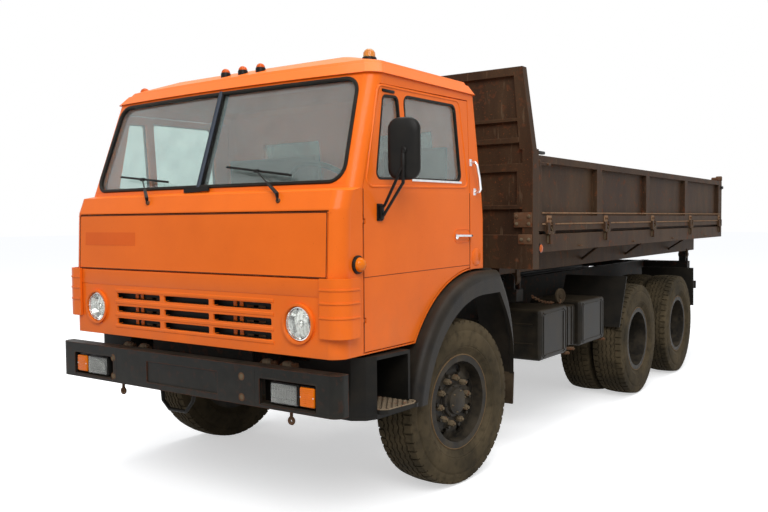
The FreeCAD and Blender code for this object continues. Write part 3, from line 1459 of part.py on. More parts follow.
def ram():
    """Telescopic ram: barrel on a cross pin, one stage, and the rod with its eye."""
    y = at(D.ram_station)
    base = D.ram_base
    barrel = fuse("RamBarrelSolid", [
        rod("RamTube", "z", (0, y, base - 40), D.ram_barrel, 480),
        rod("RamTrunnion", "y", (0, y - D.trunnion_half, base), D.trunnion,
            2 * D.trunnion_half),
    ])
    bore = rod("RamBore", "z", (0, y, base + 30), D.ram_stage + D.running_gap, 600)
    node("ram_barrel", cut("RamBarrel", barrel, [bore]))
    stage = rod("RamStageTube", "z", (0, y, base + 40), D.ram_stage, 440)
    stage_bore = rod("RamStageBore", "z", (0, y, base + 50), D.ram_rod + D.running_gap, 600)
    node("ram_stage", cut("RamStage", stage, [stage_bore]))
    rod_solid = fuse("RamRodSolid", [
        rod("RamRodBar", "z", (0, y, base + 60), D.ram_rod, D.ram_eye - base - 120),
        rod("RamNeck", "z", (0, y, base + 60), D.ram_neck, D.ram_eye - base - 60),
        rod("RamEye", "y", (0, y - D.ram_cheek + D.part_gap, D.ram_eye), 38,
            2 * (D.ram_cheek - D.part_gap)),
    ])
    node("ram_rod", rod_solid)


ram()

# ---------------------------------------------------------------- check and write

doc.recompute()
for obj in doc.Objects:
    if "Invalid" in obj.State or "Error" in obj.State:
        raise RuntimeError(f"{obj.Name} is {obj.State}")
os.makedirs("parts", exist_ok=True)
for name, obj in NODES.items():
    shape = obj.Shape
    if shape.isNull() or not shape.isValid() or not shape.Solids:
        raise RuntimeError(f"{name} has no valid solid")
    shape.exportStep(f"parts/{name}.step")
    print(f"{name:20s} solids {len(shape.Solids)} volume {shape.Volume / 1e6:9.2f} litres")
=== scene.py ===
import json
import math

import bmesh
import bpy
from mathutils import Matrix, Vector


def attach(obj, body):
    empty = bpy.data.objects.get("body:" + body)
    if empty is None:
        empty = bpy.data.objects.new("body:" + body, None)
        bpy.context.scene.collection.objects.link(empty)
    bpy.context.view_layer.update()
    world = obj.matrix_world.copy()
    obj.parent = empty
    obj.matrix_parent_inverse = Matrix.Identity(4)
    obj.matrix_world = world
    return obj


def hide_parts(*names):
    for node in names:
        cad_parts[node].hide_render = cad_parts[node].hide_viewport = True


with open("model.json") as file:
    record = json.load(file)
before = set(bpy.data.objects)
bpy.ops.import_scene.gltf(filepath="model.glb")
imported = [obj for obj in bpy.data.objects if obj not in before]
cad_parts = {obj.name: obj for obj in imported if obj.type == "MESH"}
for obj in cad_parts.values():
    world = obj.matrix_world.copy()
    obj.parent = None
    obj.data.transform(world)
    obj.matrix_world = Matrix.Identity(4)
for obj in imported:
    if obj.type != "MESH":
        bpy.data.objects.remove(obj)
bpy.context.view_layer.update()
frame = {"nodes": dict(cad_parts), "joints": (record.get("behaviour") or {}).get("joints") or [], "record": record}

# A six-wheeled tipper truck.  Metres; +X is the truck's left, -Y its front.
# Tables give places in millimetres: across, station behind the front axle, height.
# Strips' sections are in millimetres too; profiles of turned forms are in metres.
MM = 0.001
JOINTS = {joint["name"]: joint for joint in frame["joints"]}
AXLE_Y = JOINTS["steer_left"]["pos_m"][1]
SIDES = (("left", 1), ("right", -1))
LEFT, AHEAD = (1, 0, 0), (0, -1, 0)


def at(across, station, height):
    """A place in metres from millimetres and a station."""
    return Vector((across * MM, AXLE_Y + station * MM, height * MM))


def strip(foot, low, top, high):
    """A strip's section in millimetres: half its foot, foot's level, half its top, top's level."""
    return [(u * MM, v * MM) for u, v in ((-foot, low), (foot, low), (top, high), (-top, high))]


def lipped(half, low, knee, top, high):
    """A strip's section in millimetres whose upper corners are cut off."""
    return [(u * MM, v * MM) for u, v in ((-half, low), (half, low), (half, knee), (top, high),
                                          (-top, high), (-half, knee))]


# ---------------------------------------------------------------- materials

GLOSS = 0.12  # low, because the whole studio is white


class Paint:
    """A node material built up layer by layer on one Principled shader."""

    def __init__(self, name, colour, rough, metal=0.0):
        self.mat = bpy.data.materials.new(name)
        self.mat.use_nodes = True
        self.tree = self.mat.node_tree
        self.shader = self.tree.nodes["Principled BSDF"]
        self.place = self.node("ShaderNodeTexCoord").outputs["Object"]
        self.set(Metallic=metal, Roughness=rough, Specular_IOR_Level=GLOSS,
                 Base_Color=(*colour, 1))
        self.flat, self.flat_rough = colour, rough
        self.colour = self.rough = self.height = None

    def node(self, kind, **values):
        made = self.tree.nodes.new(kind)
        for key, value in values.items():
            setattr(made, key, value)
        return made

    def link(self, source, target):
        if isinstance(source, (int, float)):
            target.default_value = source
        else:
            self.tree.links.new(source, target)

    def set(self, **values):
        for key, value in values.items():
            self.shader.inputs[key.replace("_", " ")].default_value = value
        return self

    def noise(self, scale, detail=4.0, stretch=(1, 1, 1), low=0.35, high=0.65):
        """Noise in 0 to 1, its contrast set by low and high."""
        mapping = self.node("ShaderNodeMapping")
        mapping.inputs["Scale"].default_value = stretch
        self.link(self.place, mapping.inputs["Vector"])
        tex = self.node("ShaderNodeTexNoise")
        for key, value in (("Scale", scale), ("Detail", detail), ("Roughness", 0.55)):
            tex.inputs[key].default_value = value
        self.link(mapping.outputs["Vector"], tex.inputs["Vector"])
        return self.ramp(tex.outputs["Fac"], low, high)

    def ramp(self, source, low, high):
        """A value mapped from low and high to 0 and 1, and clamped."""
        made = self.node("ShaderNodeMapRange")
        self.link(source, made.inputs["Value"])
        made.inputs["From Min"].default_value = low
        made.inputs["From Max"].default_value = high
        return made.outputs["Result"]

    def times(self, first, second, operation="MULTIPLY"):
        made = self.node("ShaderNodeMath", operation=operation, use_clamp=True)
        self.link(first, made.inputs[0])
        self.link(second, made.inputs[1])
        return made.outputs[0]

    def part(self, vector, axis):
        """One of a vector's three coordinates."""
        made = self.node("ShaderNodeSeparateXYZ")
        self.link(vector, made.inputs[0])
        return made.outputs[axis]

    def upward(self, low=0.3, high=0.9):
        """How far a face looks up."""
        normal = self.node("ShaderNodeNewGeometry").outputs["Normal"]
        return self.ramp(self.part(normal, "Z"), low, high)

    def bevelled(self, radius):
        bevel = self.node("ShaderNodeBevel", samples=4)
        bevel.inputs["Radius"].default_value = radius
        return bevel.outputs["Normal"]

    def edges(self, width=0.006):
        """Where the surface bends sharply within a width."""
        dot = self.node("ShaderNodeVectorMath", operation="DOT_PRODUCT")
        self.link(self.bevelled(width), dot.inputs[0])
        self.link(self.node("ShaderNodeNewGeometry").outputs["Normal"], dot.inputs[1])
        return self.ramp(self.times(1.0, dot.outputs["Value"], "SUBTRACT"), 0.004, 0.08)

    def layer(self, colour, amount, rough=None):
        """Another colour over what is there, where amount is."""
        mix = self.node("ShaderNodeMix", data_type="RGBA")
        self.link(amount, mix.inputs["Factor"])
        if self.colour is None:
            mix.inputs["A"].default_value = (*self.flat, 1)
        else:
            self.link(self.colour, mix.inputs["A"])
        mix.inputs["B"].default_value = (*colour, 1)
        self.colour = mix.outputs["Result"]
        if rough is not None:
            blend = self.node("ShaderNodeMix", data_type="FLOAT")
            self.link(amount, blend.inputs["Factor"])
            self.link(self.flat_rough if self.rough is None else self.rough, blend.inputs["A"])
            blend.inputs["B"].default_value = rough
            self.rough = blend.outputs["Result"]

    def relief(self, source, strength, distance=0.002):
        """Bump from a value; calls add up."""
        bump = self.node("ShaderNodeBump")
        bump.inputs["Strength"].default_value = strength
        bump.inputs["Distance"].default_value = distance
        self.link(source, bump.inputs["Height"])
        if self.height is not None:
            self.link(self.height, bump.inputs["Normal"])
        self.height = bump.outputs["Normal"]

    def soften(self, radius):
        """Rounded edges in the shading, as real pressed sheet has."""
        self.height = self.bevelled(radius)

    def done(self):
        for source, socket in ((self.colour, "Base Color"), (self.rough, "Roughness"),
                               (self.height, "Normal")):
            if source is not None:
                self.link(source, self.shader.inputs[socket])
        return self.mat


def srgb(red, green, blue):
    """A screen colour of 0 to 255 in linear light."""
    return tuple((c / 255 / 12.92) if c < 11 else ((c / 255 + 0.055) / 1.055) ** 2.4
                 for c in (red, green, blue))


def scaled(colour, share, lift=0.0):
    return tuple(c * share + lift for c in colour)


DUST = srgb(118, 102, 80)
RUST = srgb(104, 56, 32)


def cab_paint(name, colour, rough=0.34):
    """Old gloss paint: uneven, paler where it looks up, dusty low down, chipped at edges."""
    p = Paint(name, colour, rough)
    p.soften(0.005)
    pale = (min(1, colour[0] * 1.2), colour[1] * 1.3, colour[2] * 1.6)
    p.layer(scaled(colour, 0.84), p.times(p.noise(1.3, 5), 0.5))
    p.layer(pale, p.times(p.noise(3.7, 6), 0.22))
    p.layer(pale, p.times(p.upward(0.25, 1.0), 0.7), 0.5)
    low = p.ramp(p.part(p.place, "Z"), 1.35, 0.95)
    p.layer(DUST, p.times(p.times(low, p.noise(7, 8, high=0.75)), 0.16), 0.6)
    p.layer(srgb(112, 44, 16), p.times(p.noise(150, 2, low=0.73, high=0.76), 0.5), 0.6)
    p.relief(p.noise(260, 2), 0.03, 0.0006)
    p.relief(p.noise(2.6, 1), 0.12, 0.012)
    return p.set(Coat_Weight=0.10, Coat_Roughness=0.12).done()


def dull_metal(name, colour, rough, dust, rust=0.0, height=(1.3, 0.3), edge=0.0):
    """Painted or bare steel that gathers dust low down and on top, with rust in spots."""
    p = Paint(name, colour, rough)
    p.soften(0.003)
    p.layer(scaled(colour, 1.6, 0.008), p.times(p.noise(9, 6), 0.5), rough + 0.1)
    low = p.ramp(p.part(p.place, "Z"), *height)
    grain = p.noise(14, 8, low=0.3, high=0.7)
    p.layer(DUST, p.times(p.times(low, grain), dust), 0.9)
    p.layer(DUST, p.times(p.times(p.upward(), grain), min(1, dust * 1.2)), 0.9)
    if rust:
        p.layer(RUST, p.times(p.noise(24, 8, low=0.55, high=0.66), rust), 0.85)
    if edge:
        p.layer(RUST, p.times(p.times(p.edges(), p.noise(30, 4, low=0.3, high=0.6)), edge), 0.8)
    p.relief(p.noise(120, 5), 0.15, 0.001)
    return p.done()


def bed_paint(name, colour):
    """Dark brown paint, streaked, rust specked and rubbed pale at edges and on the rails."""
    p = Paint(name, colour, 0.6)
    p.soften(0.004)
    streaks = p.noise(40, 6, stretch=(1, 1, 0.15), low=0.62, high=0.74)
    p.layer(srgb(83, 64, 44), p.times(p.noise(2.1, 6, stretch=(1, 1, 0.4)), 0.75), 0.65)
    p.layer(srgb(38, 26, 19), p.times(p.noise(5.5, 8, stretch=(1, 1, 0.25)), 0.6))
    p.layer(srgb(112, 62, 36), p.times(p.noise(15, 9, low=0.58, high=0.72), 0.55), 0.8)
    p.layer(srgb(130, 72, 38), p.times(p.noise(85, 3, low=0.65, high=0.71), 0.7), 0.85)
    p.layer(srgb(124, 104, 82), p.times(streaks, 0.3), 0.8)
    grain = p.noise(11, 8, low=0.32, high=0.62)
    p.layer(srgb(134, 108, 84), p.times(p.times(p.upward(0.5, 1.0), grain), 0.7), 0.9)
    p.layer(srgb(112, 78, 54), p.times(p.times(p.edges(0.008), grain), 0.5), 0.8)
    p.relief(p.noise(60, 6), 0.2, 0.0015)
    p.relief(p.noise(2.5, 2), 0.15, 0.012)
    return p.done()


def rubber(name, colour, rough, dust, bump=0.2, scale=180):
    """Rubber or dull plastic with a film of dust."""
    p = Paint(name, colour, rough)
    p.layer(DUST, p.times(p.noise(8, 8, low=0.3, high=0.75), dust), 0.95)
    p.layer(DUST, p.times(p.upward(0.4, 1.0), dust), 0.95)
    p.relief(p.noise(scale, 4), bump, 0.0006)
    return p.done()


def glass(name, colour, weight, rough=0.02, film=0.0):
    """Clear or coloured glass or plastic, with a thin film of dirt in its colour's rest."""
    p = Paint(name, colour, rough)
    p.layer(scaled(colour, 0.8), p.times(p.noise(6, 6), 0.4), rough + 0.03)
    p.set(Transmission_Weight=weight, IOR=1.45)
    if film:
        p.relief(p.noise(2.0, 1), film, 0.004)
    return p.done()


def chrome(name, colour, rough):
    """Bright metal, a little dulled in patches."""
    p = Paint(name, colour, rough, 1.0)
    p.layer(scaled(colour, 0.7), p.times(p.noise(30, 5), 0.4), rough + 0.15)
    return p.done()


def fabric(name, colour):
    """Woven seat cloth: two crossed waves, soft wear and sheen."""
    p = Paint(name, colour, 0.95)
    lift = None
    for direction in ("X", "Z"):
        wave = p.node("ShaderNodeTexWave", bands_direction=direction)
        wave.inputs["Scale"].default_value = 110
        p.link(p.place, wave.inputs["Vector"])
        lift = wave.outputs["Fac"] if lift is None else p.times(lift, wave.outputs["Fac"], "ADD")
    p.layer(scaled(colour, 1.5), p.times(lift, 0.5))
    p.layer(scaled(colour, 0.6), p.times(p.noise(3, 5), 0.6))
    p.relief(lift, 0.5, 0.0008)
    return p.set(Sheen_Weight=0.3).done()


def tyre_rubber(name, colour):
    """Worn tyre rubber, olive brown with dust on the side walls and dark in the tread."""
    p = Paint(name, colour, 0.85)
    p.layer(srgb(98, 85, 64), p.times(p.noise(4, 8, low=0.3, high=0.7), 0.75), 0.95)
    p.layer(srgb(30, 27, 21), p.times(p.noise(20, 6, low=0.5, high=0.7), 0.5))
    p.relief(p.noise(90, 6), 0.3, 0.001)
    return p.done()


def rim_paint(name, colour):
    """Black wheel paint under a film of dust."""
    p = Paint(name, colour, 0.4)
    p.soften(0.003)
    p.layer(srgb(112, 100, 82), p.times(p.noise(10, 8, low=0.42, high=0.75), 0.4), 0.8)
    p.layer(srgb(52, 45, 35), p.times(p.noise(40, 5), 0.4), 0.85)
    p.relief(p.noise(70, 5), 0.2, 0.001)
    return p.done()


ALL_OVER = (3, 2)  # heights that put the low-down dust everywhere
PALETTE = {  # how it is made, screen colour, then that maker's own figures
    "cab_orange": (cab_paint, (239, 109, 24)),
    "hatch_patch": (cab_paint, (226, 95, 16), 0.4),
    # darker orange for the door's crease line: painted shade along the fold
    "seam_orange": (cab_paint, (128, 50, 10), 0.5),
    "gap_brown": (cab_paint, (52, 22, 8), 0.6),
    "lamp_white": (cab_paint, (236, 236, 228), 0.3),
    "bed_brown": (bed_paint, (61, 42, 28)),
    "tyre_rubber": (tyre_rubber, (50, 44, 33)),
    "rim_black": (rim_paint, (34, 32, 29)),
    "seat_cloth": (fabric, (84, 78, 70)),
    # steel: roughness, dust, rust, heights between which the dust grows, rust along edges
    "frame_black": (dull_metal, (14, 13, 11), 0.6, 0.15, 0.3),
    "axle_iron": (dull_metal, (32, 28, 23), 0.75, 0.5, 0.4),
    "spring_steel": (dull_metal, (30, 26, 22), 0.75, 0.5, 0.5),
    "engine_grey": (dull_metal, (58, 55, 50), 0.7, 0.5, 0.3),
    "radiator_black": (dull_metal, (17, 16, 14), 0.6, 0.3),
    "bumper_black": (dull_metal, (23, 22, 19), 0.4, 0.10, 0.10, (0.80, 0.5), 0.8),
    # pale on the board's rails and hinge straps: dust, and painted highlight along the rails' upper edges
    "rail_dust": (dull_metal, (134, 102, 76), 0.8, 0.5, 0.6, ALL_OVER),
    "rusty": (dull_metal, (84, 56, 38), 0.85, 0.35, 0.9, ALL_OVER),
    "pale_steel": (dull_metal, (112, 98, 80), 0.8, 0.3, 0.6, ALL_OVER),
    "ochre": (dull_metal, (104, 82, 56), 0.9, 0.4, 0.3, ALL_OVER),
    "nut_steel": (dull_metal, (96, 84, 66), 0.8, 0.4, 0.5, ALL_OVER),
    # rubber: roughness, dust, bump, grain
    "wing_plastic": (rubber, (27, 25, 23), 0.4, 0.10, 0.3, 220),
    "box_black": (rubber, (13, 13, 11), 0.4, 0.12, 0.2, 60),
    "well_black": (rubber, (15, 15, 14), 0.5, 0.05),
    "trim_black": (rubber, (20, 20, 20), 0.38, 0.04),
    "rubber_black": (rubber, (25, 24, 22), 0.5, 0.08),
    "seal_grey": (rubber, (54, 62, 74), 0.4, 0.05),
    "mudflap": (rubber, (48, 38, 27), 0.85, 0.4),
    "dash_plastic": (rubber, (44, 43, 40), 0.6, 0.1),
    # glass: how clear, roughness
    "amber_glass": (glass, (252, 128, 6), 0.2, 0.12),
    "orange_dome": (glass, (226, 104, 26), 0.3, 0.15),
    "beacon_amber": (glass, (222, 172, 78), 0.6, 0.08),
    "red_glass": (glass, (150, 16, 12), 0.4, 0.12),
}
BRIGHT = (0.78, 0.79, 0.8)
MAT = {name: make(name, srgb(*colour), *figures)
       for name, (make, colour, *figures) in PALETTE.items()}
MAT |= {
    "window_glass": glass("window_glass", (0.755, 0.875, 0.845), 0.90, film=0.04),
    "lamp_glass": glass("lamp_glass", (0.93, 0.94, 0.90), 0.94),
    "chrome": chrome("chrome", BRIGHT, 0.12),
    "silver": chrome("silver", BRIGHT, 0.3),
    "ram_steel": chrome("ram_steel", (0.6, 0.6, 0.6), 0.22),
}

# ---------------------------------------------------------------- shapes


def quads(rings, size, loop=True, closed=True):
    """Faces of a net of rings; loop joins the last ring to the first, closed each ring."""
    faces = []
    for i in range(rings if loop else rings - 1):
        a, b = i * size, (i + 1) % rings * size
        for j in range(size if closed else size - 1):
            k = (j + 1) % size
            faces.append([a + j, a + k, b + k, b + j])
    return faces


def spoke(axis, angle):
    """The unit vector out from an axis at an angle round it."""
    first = axis.orthogonal().normalized()
    return first * math.cos(angle) + axis.cross(first) * math.sin(angle)


def spread(axis, count, spin=0.0):
    """Unit vectors all round an axis."""
    return [spoke(axis, 2 * math.pi * i / count + spin) for i in range(count)]


class Shape:
    """Faces gathered from simple forms, then made into one mesh piece."""

    def __init__(self):
        self.points = []
        self.faces = []
        self.paint = []

    def add(self, points, faces, mat=0):
        base = len(self.points)
        self.points += [Vector(p) for p in points]
        self.faces += [[base + i for i in face] for face in faces]
        self.paint += [mat] * len(faces)
        return self

    def block(self, corner, other, round_by=0.0, mat=0):
        """A box between two corners in metres, its edges rounded."""
        low, high = (Vector(map(end, corner, other)) for end in (min, max))
        bm = bmesh.new()
        bmesh.ops.create_cube(bm, size=1.0)
        for vert in bm.verts:
            vert.co = Vector(a * b for a, b in zip(vert.co, high - low)) + (low + high) / 2
        if round_by:
            bmesh.ops.bevel(bm, geom=bm.edges[:], offset=round_by, segments=2,
                            affect="EDGES", profile=0.5, clamp_overlap=True)
        bm.verts.index_update()
        self.add([v.co.copy() for v in bm.verts], [[v.index for v in f.verts] for f in bm.faces],
                 mat)
        bm.free()
        return self

    def lump(self, centre, half, round_by=0.0, mat=0):
        """A rounded block about its centre; half its size and the rounding in millimetres."""
        half = Vector(half) * MM
        return self.block(centre - half, centre + half, round_by * MM, mat)

    def blocks(self, *rows):
        """Rounded blocks: two corners and the rounding in millimetres, then the paint."""
        for corner, other, round_by, mat in rows:
            self.block(at(*corner), at(*other), round_by * MM, mat)
        return self

    def sweep(self, path, section, closed=False, mat=0, up=(0, 0, 1)):
        """A section of (across, up) points carried along a path."""
        path = [Vector(p) for p in path]
        count = len(path)
        points = []
        side = None
        for i, point in enumerate(path):
            after = path[(i + 1) % count] if closed or i < count - 1 else point
            before = path[i - 1] if closed or i else point
            ahead = (after - before).normalized()
            lift = Vector(up) - ahead * ahead.dot(Vector(up))
            if lift.length < 0.1:
                lift = side if side is not None else ahead.orthogonal()
                lift = lift - ahead * ahead.dot(lift)
            lift.normalize()
            side = lift
            incoming, outgoing = point - before, after - point
            stretch = 1.0
            if incoming.length > 1e-9 and outgoing.length > 1e-9:
                cosine = incoming.normalized().dot(outgoing.normalized())
                stretch = 1 / max(0.5, math.sqrt(max(0.0, (1 + cosine) / 2)))
            points += [point + ahead.cross(lift) * u * stretch + lift * v for u, v in section]
        size = len(section)
        faces = quads(count, size, closed)
        if not closed:
            faces.append(list(range(size))[::-1])
            faces.append([(count - 1) * size + j for j in range(size)])
        return self.add(points, faces, mat)

    def tube(self, path, radius, closed=False, mat=0, sides=10, up=(0, 0, 1)):
        section = [(radius * math.cos(a), radius * math.sin(a))
                   for a in (2 * math.pi * i / sides for i in range(sides))]
        return self.sweep(path, section, closed, mat, up)

    def turned(self, profile, centre, axis, count=32, mat=0, closed=False):
        """A profile of (along, radius) rows turned about an axis through centre."""
        axis = Vector(axis).normalized()
        points = [Vector(centre) + axis * along + out * radius
                  for out in spread(axis, count) for along, radius in profile]
        return self.add(points, quads(count, len(profile), True, closed), mat)

    def nut(self, centre, axis, radius, length, mat=0, spin=0.0):
        """A hexagon nut with a chamfered end and a stud's tip."""
        axis = Vector(axis).normalized()
        points = [Vector(centre) + axis * along + out * size
                  for along, size in ((0, radius), (length * 0.82, radius),
                                      (length, radius * 0.86))
                  for out in spread(axis, 6, spin)]
        self.add(points, quads(3, 6, False) + [list(range(12, 18))], mat)
        return self.turned([(length, radius * 0.5), (length * 1.35, radius * 0.45),
                            (length * 1.4, 0.0005)], centre, axis, 8, mat)

    def dome(self, centre, axis, radius, rise, mat=0, count=24, rows=6):
        """A shallow cap that stands on its centre's plane."""
        profile = [(rise * math.sin(t), max(0.0004, radius * math.cos(t)))
                   for t in (math.pi / 2 * i / rows for i in range(rows + 1))]
        return self.turned(profile, centre, axis, count, mat)

    def mirror(self):
        """The same faces on the truck's other side."""
        other = Shape()
        other.points = [Vector((-p.x, p.y, p.z)) for p in self.points]
        other.faces = [face[::-1] for face in self.faces]
        other.paint = list(self.paint)
        return other

    def on(self, side):
        """This shape on the left, or its mirror image on the right."""
        return self if side > 0 else self.mirror()

    def piece(self, name, body, slot, *mats, smooth=35.0):
        """The finished object, riding on its body; paint numbers count through mats."""
        mesh = bpy.data.meshes.new(name)
        mesh.from_pydata([tuple(p) for p in self.points], [], self.faces)
        for mat in mats or (slot,):
            mesh.materials.append(MAT[mat])
        mesh.polygons.foreach_set("material_index", self.paint)
        bm = bmesh.new()
        bm.from_mesh(mesh)
        bmesh.ops.remove_doubles(bm, verts=bm.verts[:], dist=0.00002)
        bmesh.ops.recalc_face_normals(bm, faces=bm.faces[:])
        bm.to_mesh(mesh)
        bm.free()
        mesh.shade_smooth()
        mesh.set_sharp_from_angle(angle=math.radians(smooth))
        made = bpy.data.objects.new(name, mesh)
        bpy.context.scene.collection.objects.link(made)
        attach(made, body)
        return made


def rounded(corners, radius, steps=5):
    """A closed loop of flat (u, v) corners with each corner rounded."""
    count = len(corners)
    loop = []
    for i, corner in enumerate(corners):
        here = Vector(corner)
        before = (Vector(corners[i - 1]) - here).normalized()
        after = (Vector(corners[(i + 1) % count]) - here).normalized()
        half = before.angle(after) / 2
        reach = radius / math.tan(half)
        centre = here + (before + after).normalized() * (radius / math.sin(half))
        a0, a1 = (math.atan2(*(here + arm * reach - centre).yx) for arm in (before, after))
        turn = (a1 - a0 + math.pi) % (2 * math.pi) - math.pi
        for step in range(steps + 1):
            angle = a0 + turn * step / steps
            loop.append(centre + Vector((math.cos(angle), math.sin(angle))) * radius)
    return loop


def divided(loop, longest):
    """A closed loop with extra points on its long edges."""
    out = []
    for i, point in enumerate(loop):
        after = loop[(i + 1) % len(loop)]
        parts = max(1, int((after - point).length / longest))
        out += [point.lerp(after, j / parts) for j in range(parts)]
    return out


def oblong(x0, x1, z0, z1):
    """The four corners of a flat rectangle."""
    return [(x0, z0), (x1, z0), (x1, z1), (x0, z1)]


# ---------------------------------------------------------------- wheels

TYRE_RADIUS = 0.515
# side wall from bead to shoulder: across from the middle, radius
SIDE_WALL = (
    (0.104, 0.264), (0.112, 0.288), (0.114, 0.300), (0.120, 0.312), (0.130, 0.334),
    (0.1335, 0.338), (0.1335, 0.346), (0.1375, 0.350), (0.1398, 0.375), (0.1400, 0.402),
    (0.1388, 0.426), (0.1360, 0.440), (0.1330, 0.443), (0.1330, 0.449), (0.1350, 0.455),
    (0.1325, 0.474), (0.1290, 0.492),
)
PITCHES = 54
GROOVE = 0.013
ZIGZAG = 0.006
# crown columns: across, share of the zigzag, sunk groove, cut by shoulder slots
COLUMNS = (
    (0.1265, 0.0, 0, 1), (0.119, 0.0, 0, 1), (0.080, 0.6, 0, 1), (0.0795, 0.6, 1, 0),
    (0.069, 1.0, 1, 0), (0.0685, 1.0, 0, 0), (0.044, 0.9, 0, 0), (0.0435, 0.9, 1, 0),
    (0.034, 1.0, 1, 0), (0.0335, 1.0, 0, 0), (0.0055, 0.9, 0, 0), (0.005, 0.9, 1, 0),
)
ROWS = (  # place within a pitch, zigzag, slot across the shoulder
    (0.0, -1.0, 1), (0.20, -0.55, 1), (0.21, -0.53, 0), (0.5, 1.0, 0), (0.99, -0.98, 0),
)
TWIN_SHIFT = 0.1575  # from a pair's middle to each tyre's
RIM_EDGE = 0.1165  # from a tyre's middle to its rim's edge


def crown_radius(across):
    """The tread's rounded crown."""
    return TYRE_RADIUS - 0.009 * (abs(across) / 0.12) ** 2.4


def tyre(shape, centre, axis):
    """A tyre with ring-marked side walls and a zigzag tread with cut shoulders."""
    crown = COLUMNS + tuple((-across, *rest) for across, *rest in reversed(COLUMNS))
    points = []
    for pitch in range(PITCHES):
        for place, zigzag, slot in ROWS:
            out = spoke(axis, 2 * math.pi * (pitch + place) / PITCHES)
            row = list(SIDE_WALL)
            for across, share, groove, cut_here in crown:
                sink = GROOVE if groove or (slot and cut_here) else 0.0
                row.append((across + ZIGZAG * zigzag * share, crown_radius(across) - sink))
            row += [(-a, r) for a, r in reversed(SIDE_WALL)]
            points += [centre + axis * a + out * r for a, r in row]
    rings = PITCHES * len(ROWS)
    shape.add(points, quads(rings, len(points) // rings))


def wheel_places(node_start):
    """Wheel joints whose names start so: hand, centre, outward axis."""
    for name, joint in JOINTS.items():
        if name.startswith(node_start):
            centre = Vector(joint["pos_m"])
            side = 1 if centre.x > 0 else -1
            yield name.rsplit("_", 1)[1], centre, Vector(joint["axis"]).normalized() * side


def nuts_round(shape, centre, axis, circle, radius, length, count, mat, phase=0.0):
    """A circle of nuts on a disc."""
    for i in range(count):
        angle = 2 * math.pi * i / count + phase
        shape.nut(centre + spoke(axis, angle) * circle, axis, radius, length, mat, angle)


def edge_ring(shape, centre, axis):
    """The rim's rolled edge and split lock ring."""
    edge = centre + axis * RIM_EDGE
    shape.turned([(-0.016, 0.262), (-0.006, 0.262), (-0.003, 0.268), (-0.004, 0.288)],
                 edge, axis, 72)
    shape.turned([(-0.004, 0.288), (0.001, 0.2895), (0.001, 0.294), (-0.003, 0.2975),
                  (-0.010, 0.2970)], edge, axis, 72, 2)


WHEEL_PAINTS = ("rim_black", "nut_steel", "ochre")
for hand, centre, axis in wheel_places("roll_front"):
    body = f"front_wheel_{hand}"
    rubber_ring = Shape()
    tyre(rubber_ring, centre, axis)
    made = rubber_ring.piece(f"front_tyre_tread_{hand}", body, "tyre_rubber")
    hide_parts(f"front_tyre_{hand}")
    trim = Shape()
    edge_ring(trim, centre, axis)
    face = centre + axis * 0.050
    nuts_round(trim, face, axis, 0.142, 0.020, 0.034, 10, 1)
    trim.turned([(0, 0.112), (0.004, 0.112), (0.005, 0.106), (0.024, 0.100), (0.028, 0.094),
                 (0.030, 0.084), (0.050, 0.080), (0.060, 0.062), (0.0645, 0.046),
                 (0.0655, 0.001)], face, axis, 40)
    nuts_round(trim, face + axis * 0.004, axis, 0.097, 0.007, 0.026, 8, 0, 0.2)
    nuts_round(trim, face + axis * 0.046, axis, 0.066, 0.0055, 0.016, 6, 1, 0.5)
    trim.piece(f"front_wheel_trim_{hand}", body, "rim_black", *WHEEL_PAINTS)

for where in ("mid", "rear"):
    for hand, centre, axis in wheel_places(f"roll_{where}"):
        body = f"{where}_wheels_{hand}"
        rubber_ring = Shape()
        for shift in (TWIN_SHIFT, -TWIN_SHIFT):
            tyre(rubber_ring, centre + axis * shift, axis)
        made = rubber_ring.piece(f"{where}_tyre_tread_{hand}", body, "tyre_rubber")
        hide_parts(f"{where}_tyres_{hand}")
        trim = Shape()
        edge_ring(trim, centre + axis * TWIN_SHIFT, axis)
        nuts_round(trim, centre + axis * 0.014, axis, 0.1675, 0.0185, 0.032, 10, 1)
        nuts_round(trim, centre + axis * 0.060, axis, 0.066, 0.0055, 0.016, 8, 0)
        trim.piece(f"{where}_wheel_trim_{hand}", body, "rim_black", *WHEEL_PAINTS)

# ---------------------------------------------------------------- cab openings and trim

SCREEN_LOW, SCREEN_TOP = 1815.0, 2440.0
# windscreen's station on the centre line and at the corner, then the corner's x, low and high
SCREEN = ((-1128.0, -1078.0, 1050.0), (-914.0, -862.0, 1020.0))
SCREEN_UP = Vector((0, -1, 0.33)).normalized()
OPENING = [(-1030, 1848), (1030, 1848), (994, 2412), (-994, 2412)]
SCREEN_ROUND = 84
CURVE_STEPS = 6


def screen_part(height):
    """How far up the windscreen a height is, 0 to 1."""
    return (height - SCREEN_LOW) / (SCREEN_TOP - SCREEN_LOW)


def on_screen(across, height, proud=0.0):
    """A point of the bowed windscreen's outer face, stood proud by millimetres."""
    part = screen_part(height)
    centre, corner, wide = (a + (b - a) * part for a, b in zip(*SCREEN))
    return at(across, centre + (corner - centre) * (across / wide) ** 2 - proud, height)


def corner_patches(shape, corners, radius, grow, spot):
    """Paint that fills the square corners of an opening up to its rounded edge."""
    loop = rounded(corners, radius, CURVE_STEPS)
    middle = sum((Vector(c) for c in corners), Vector((0, 0))) / len(corners)
    size = CURVE_STEPS + 1
    for i, corner in enumerate(corners):
        curve = loop[i * size:(i + 1) * size]
        tip = Vector(corner)
        away = [math.copysign(grow, a - b) for a, b in zip(tip, middle)]
        ends = [p + Vector(g * (abs(a - b) < radius / 9) for g, a, b in zip(away, p, tip))
                for p in (curve[0], curve[-1])]
        outline = [ends[0], tip + Vector(away), ends[1]] + curve[::-1]
        shape.add([spot(p.x, p.y) for p in outline], [list(range(len(outline)))])


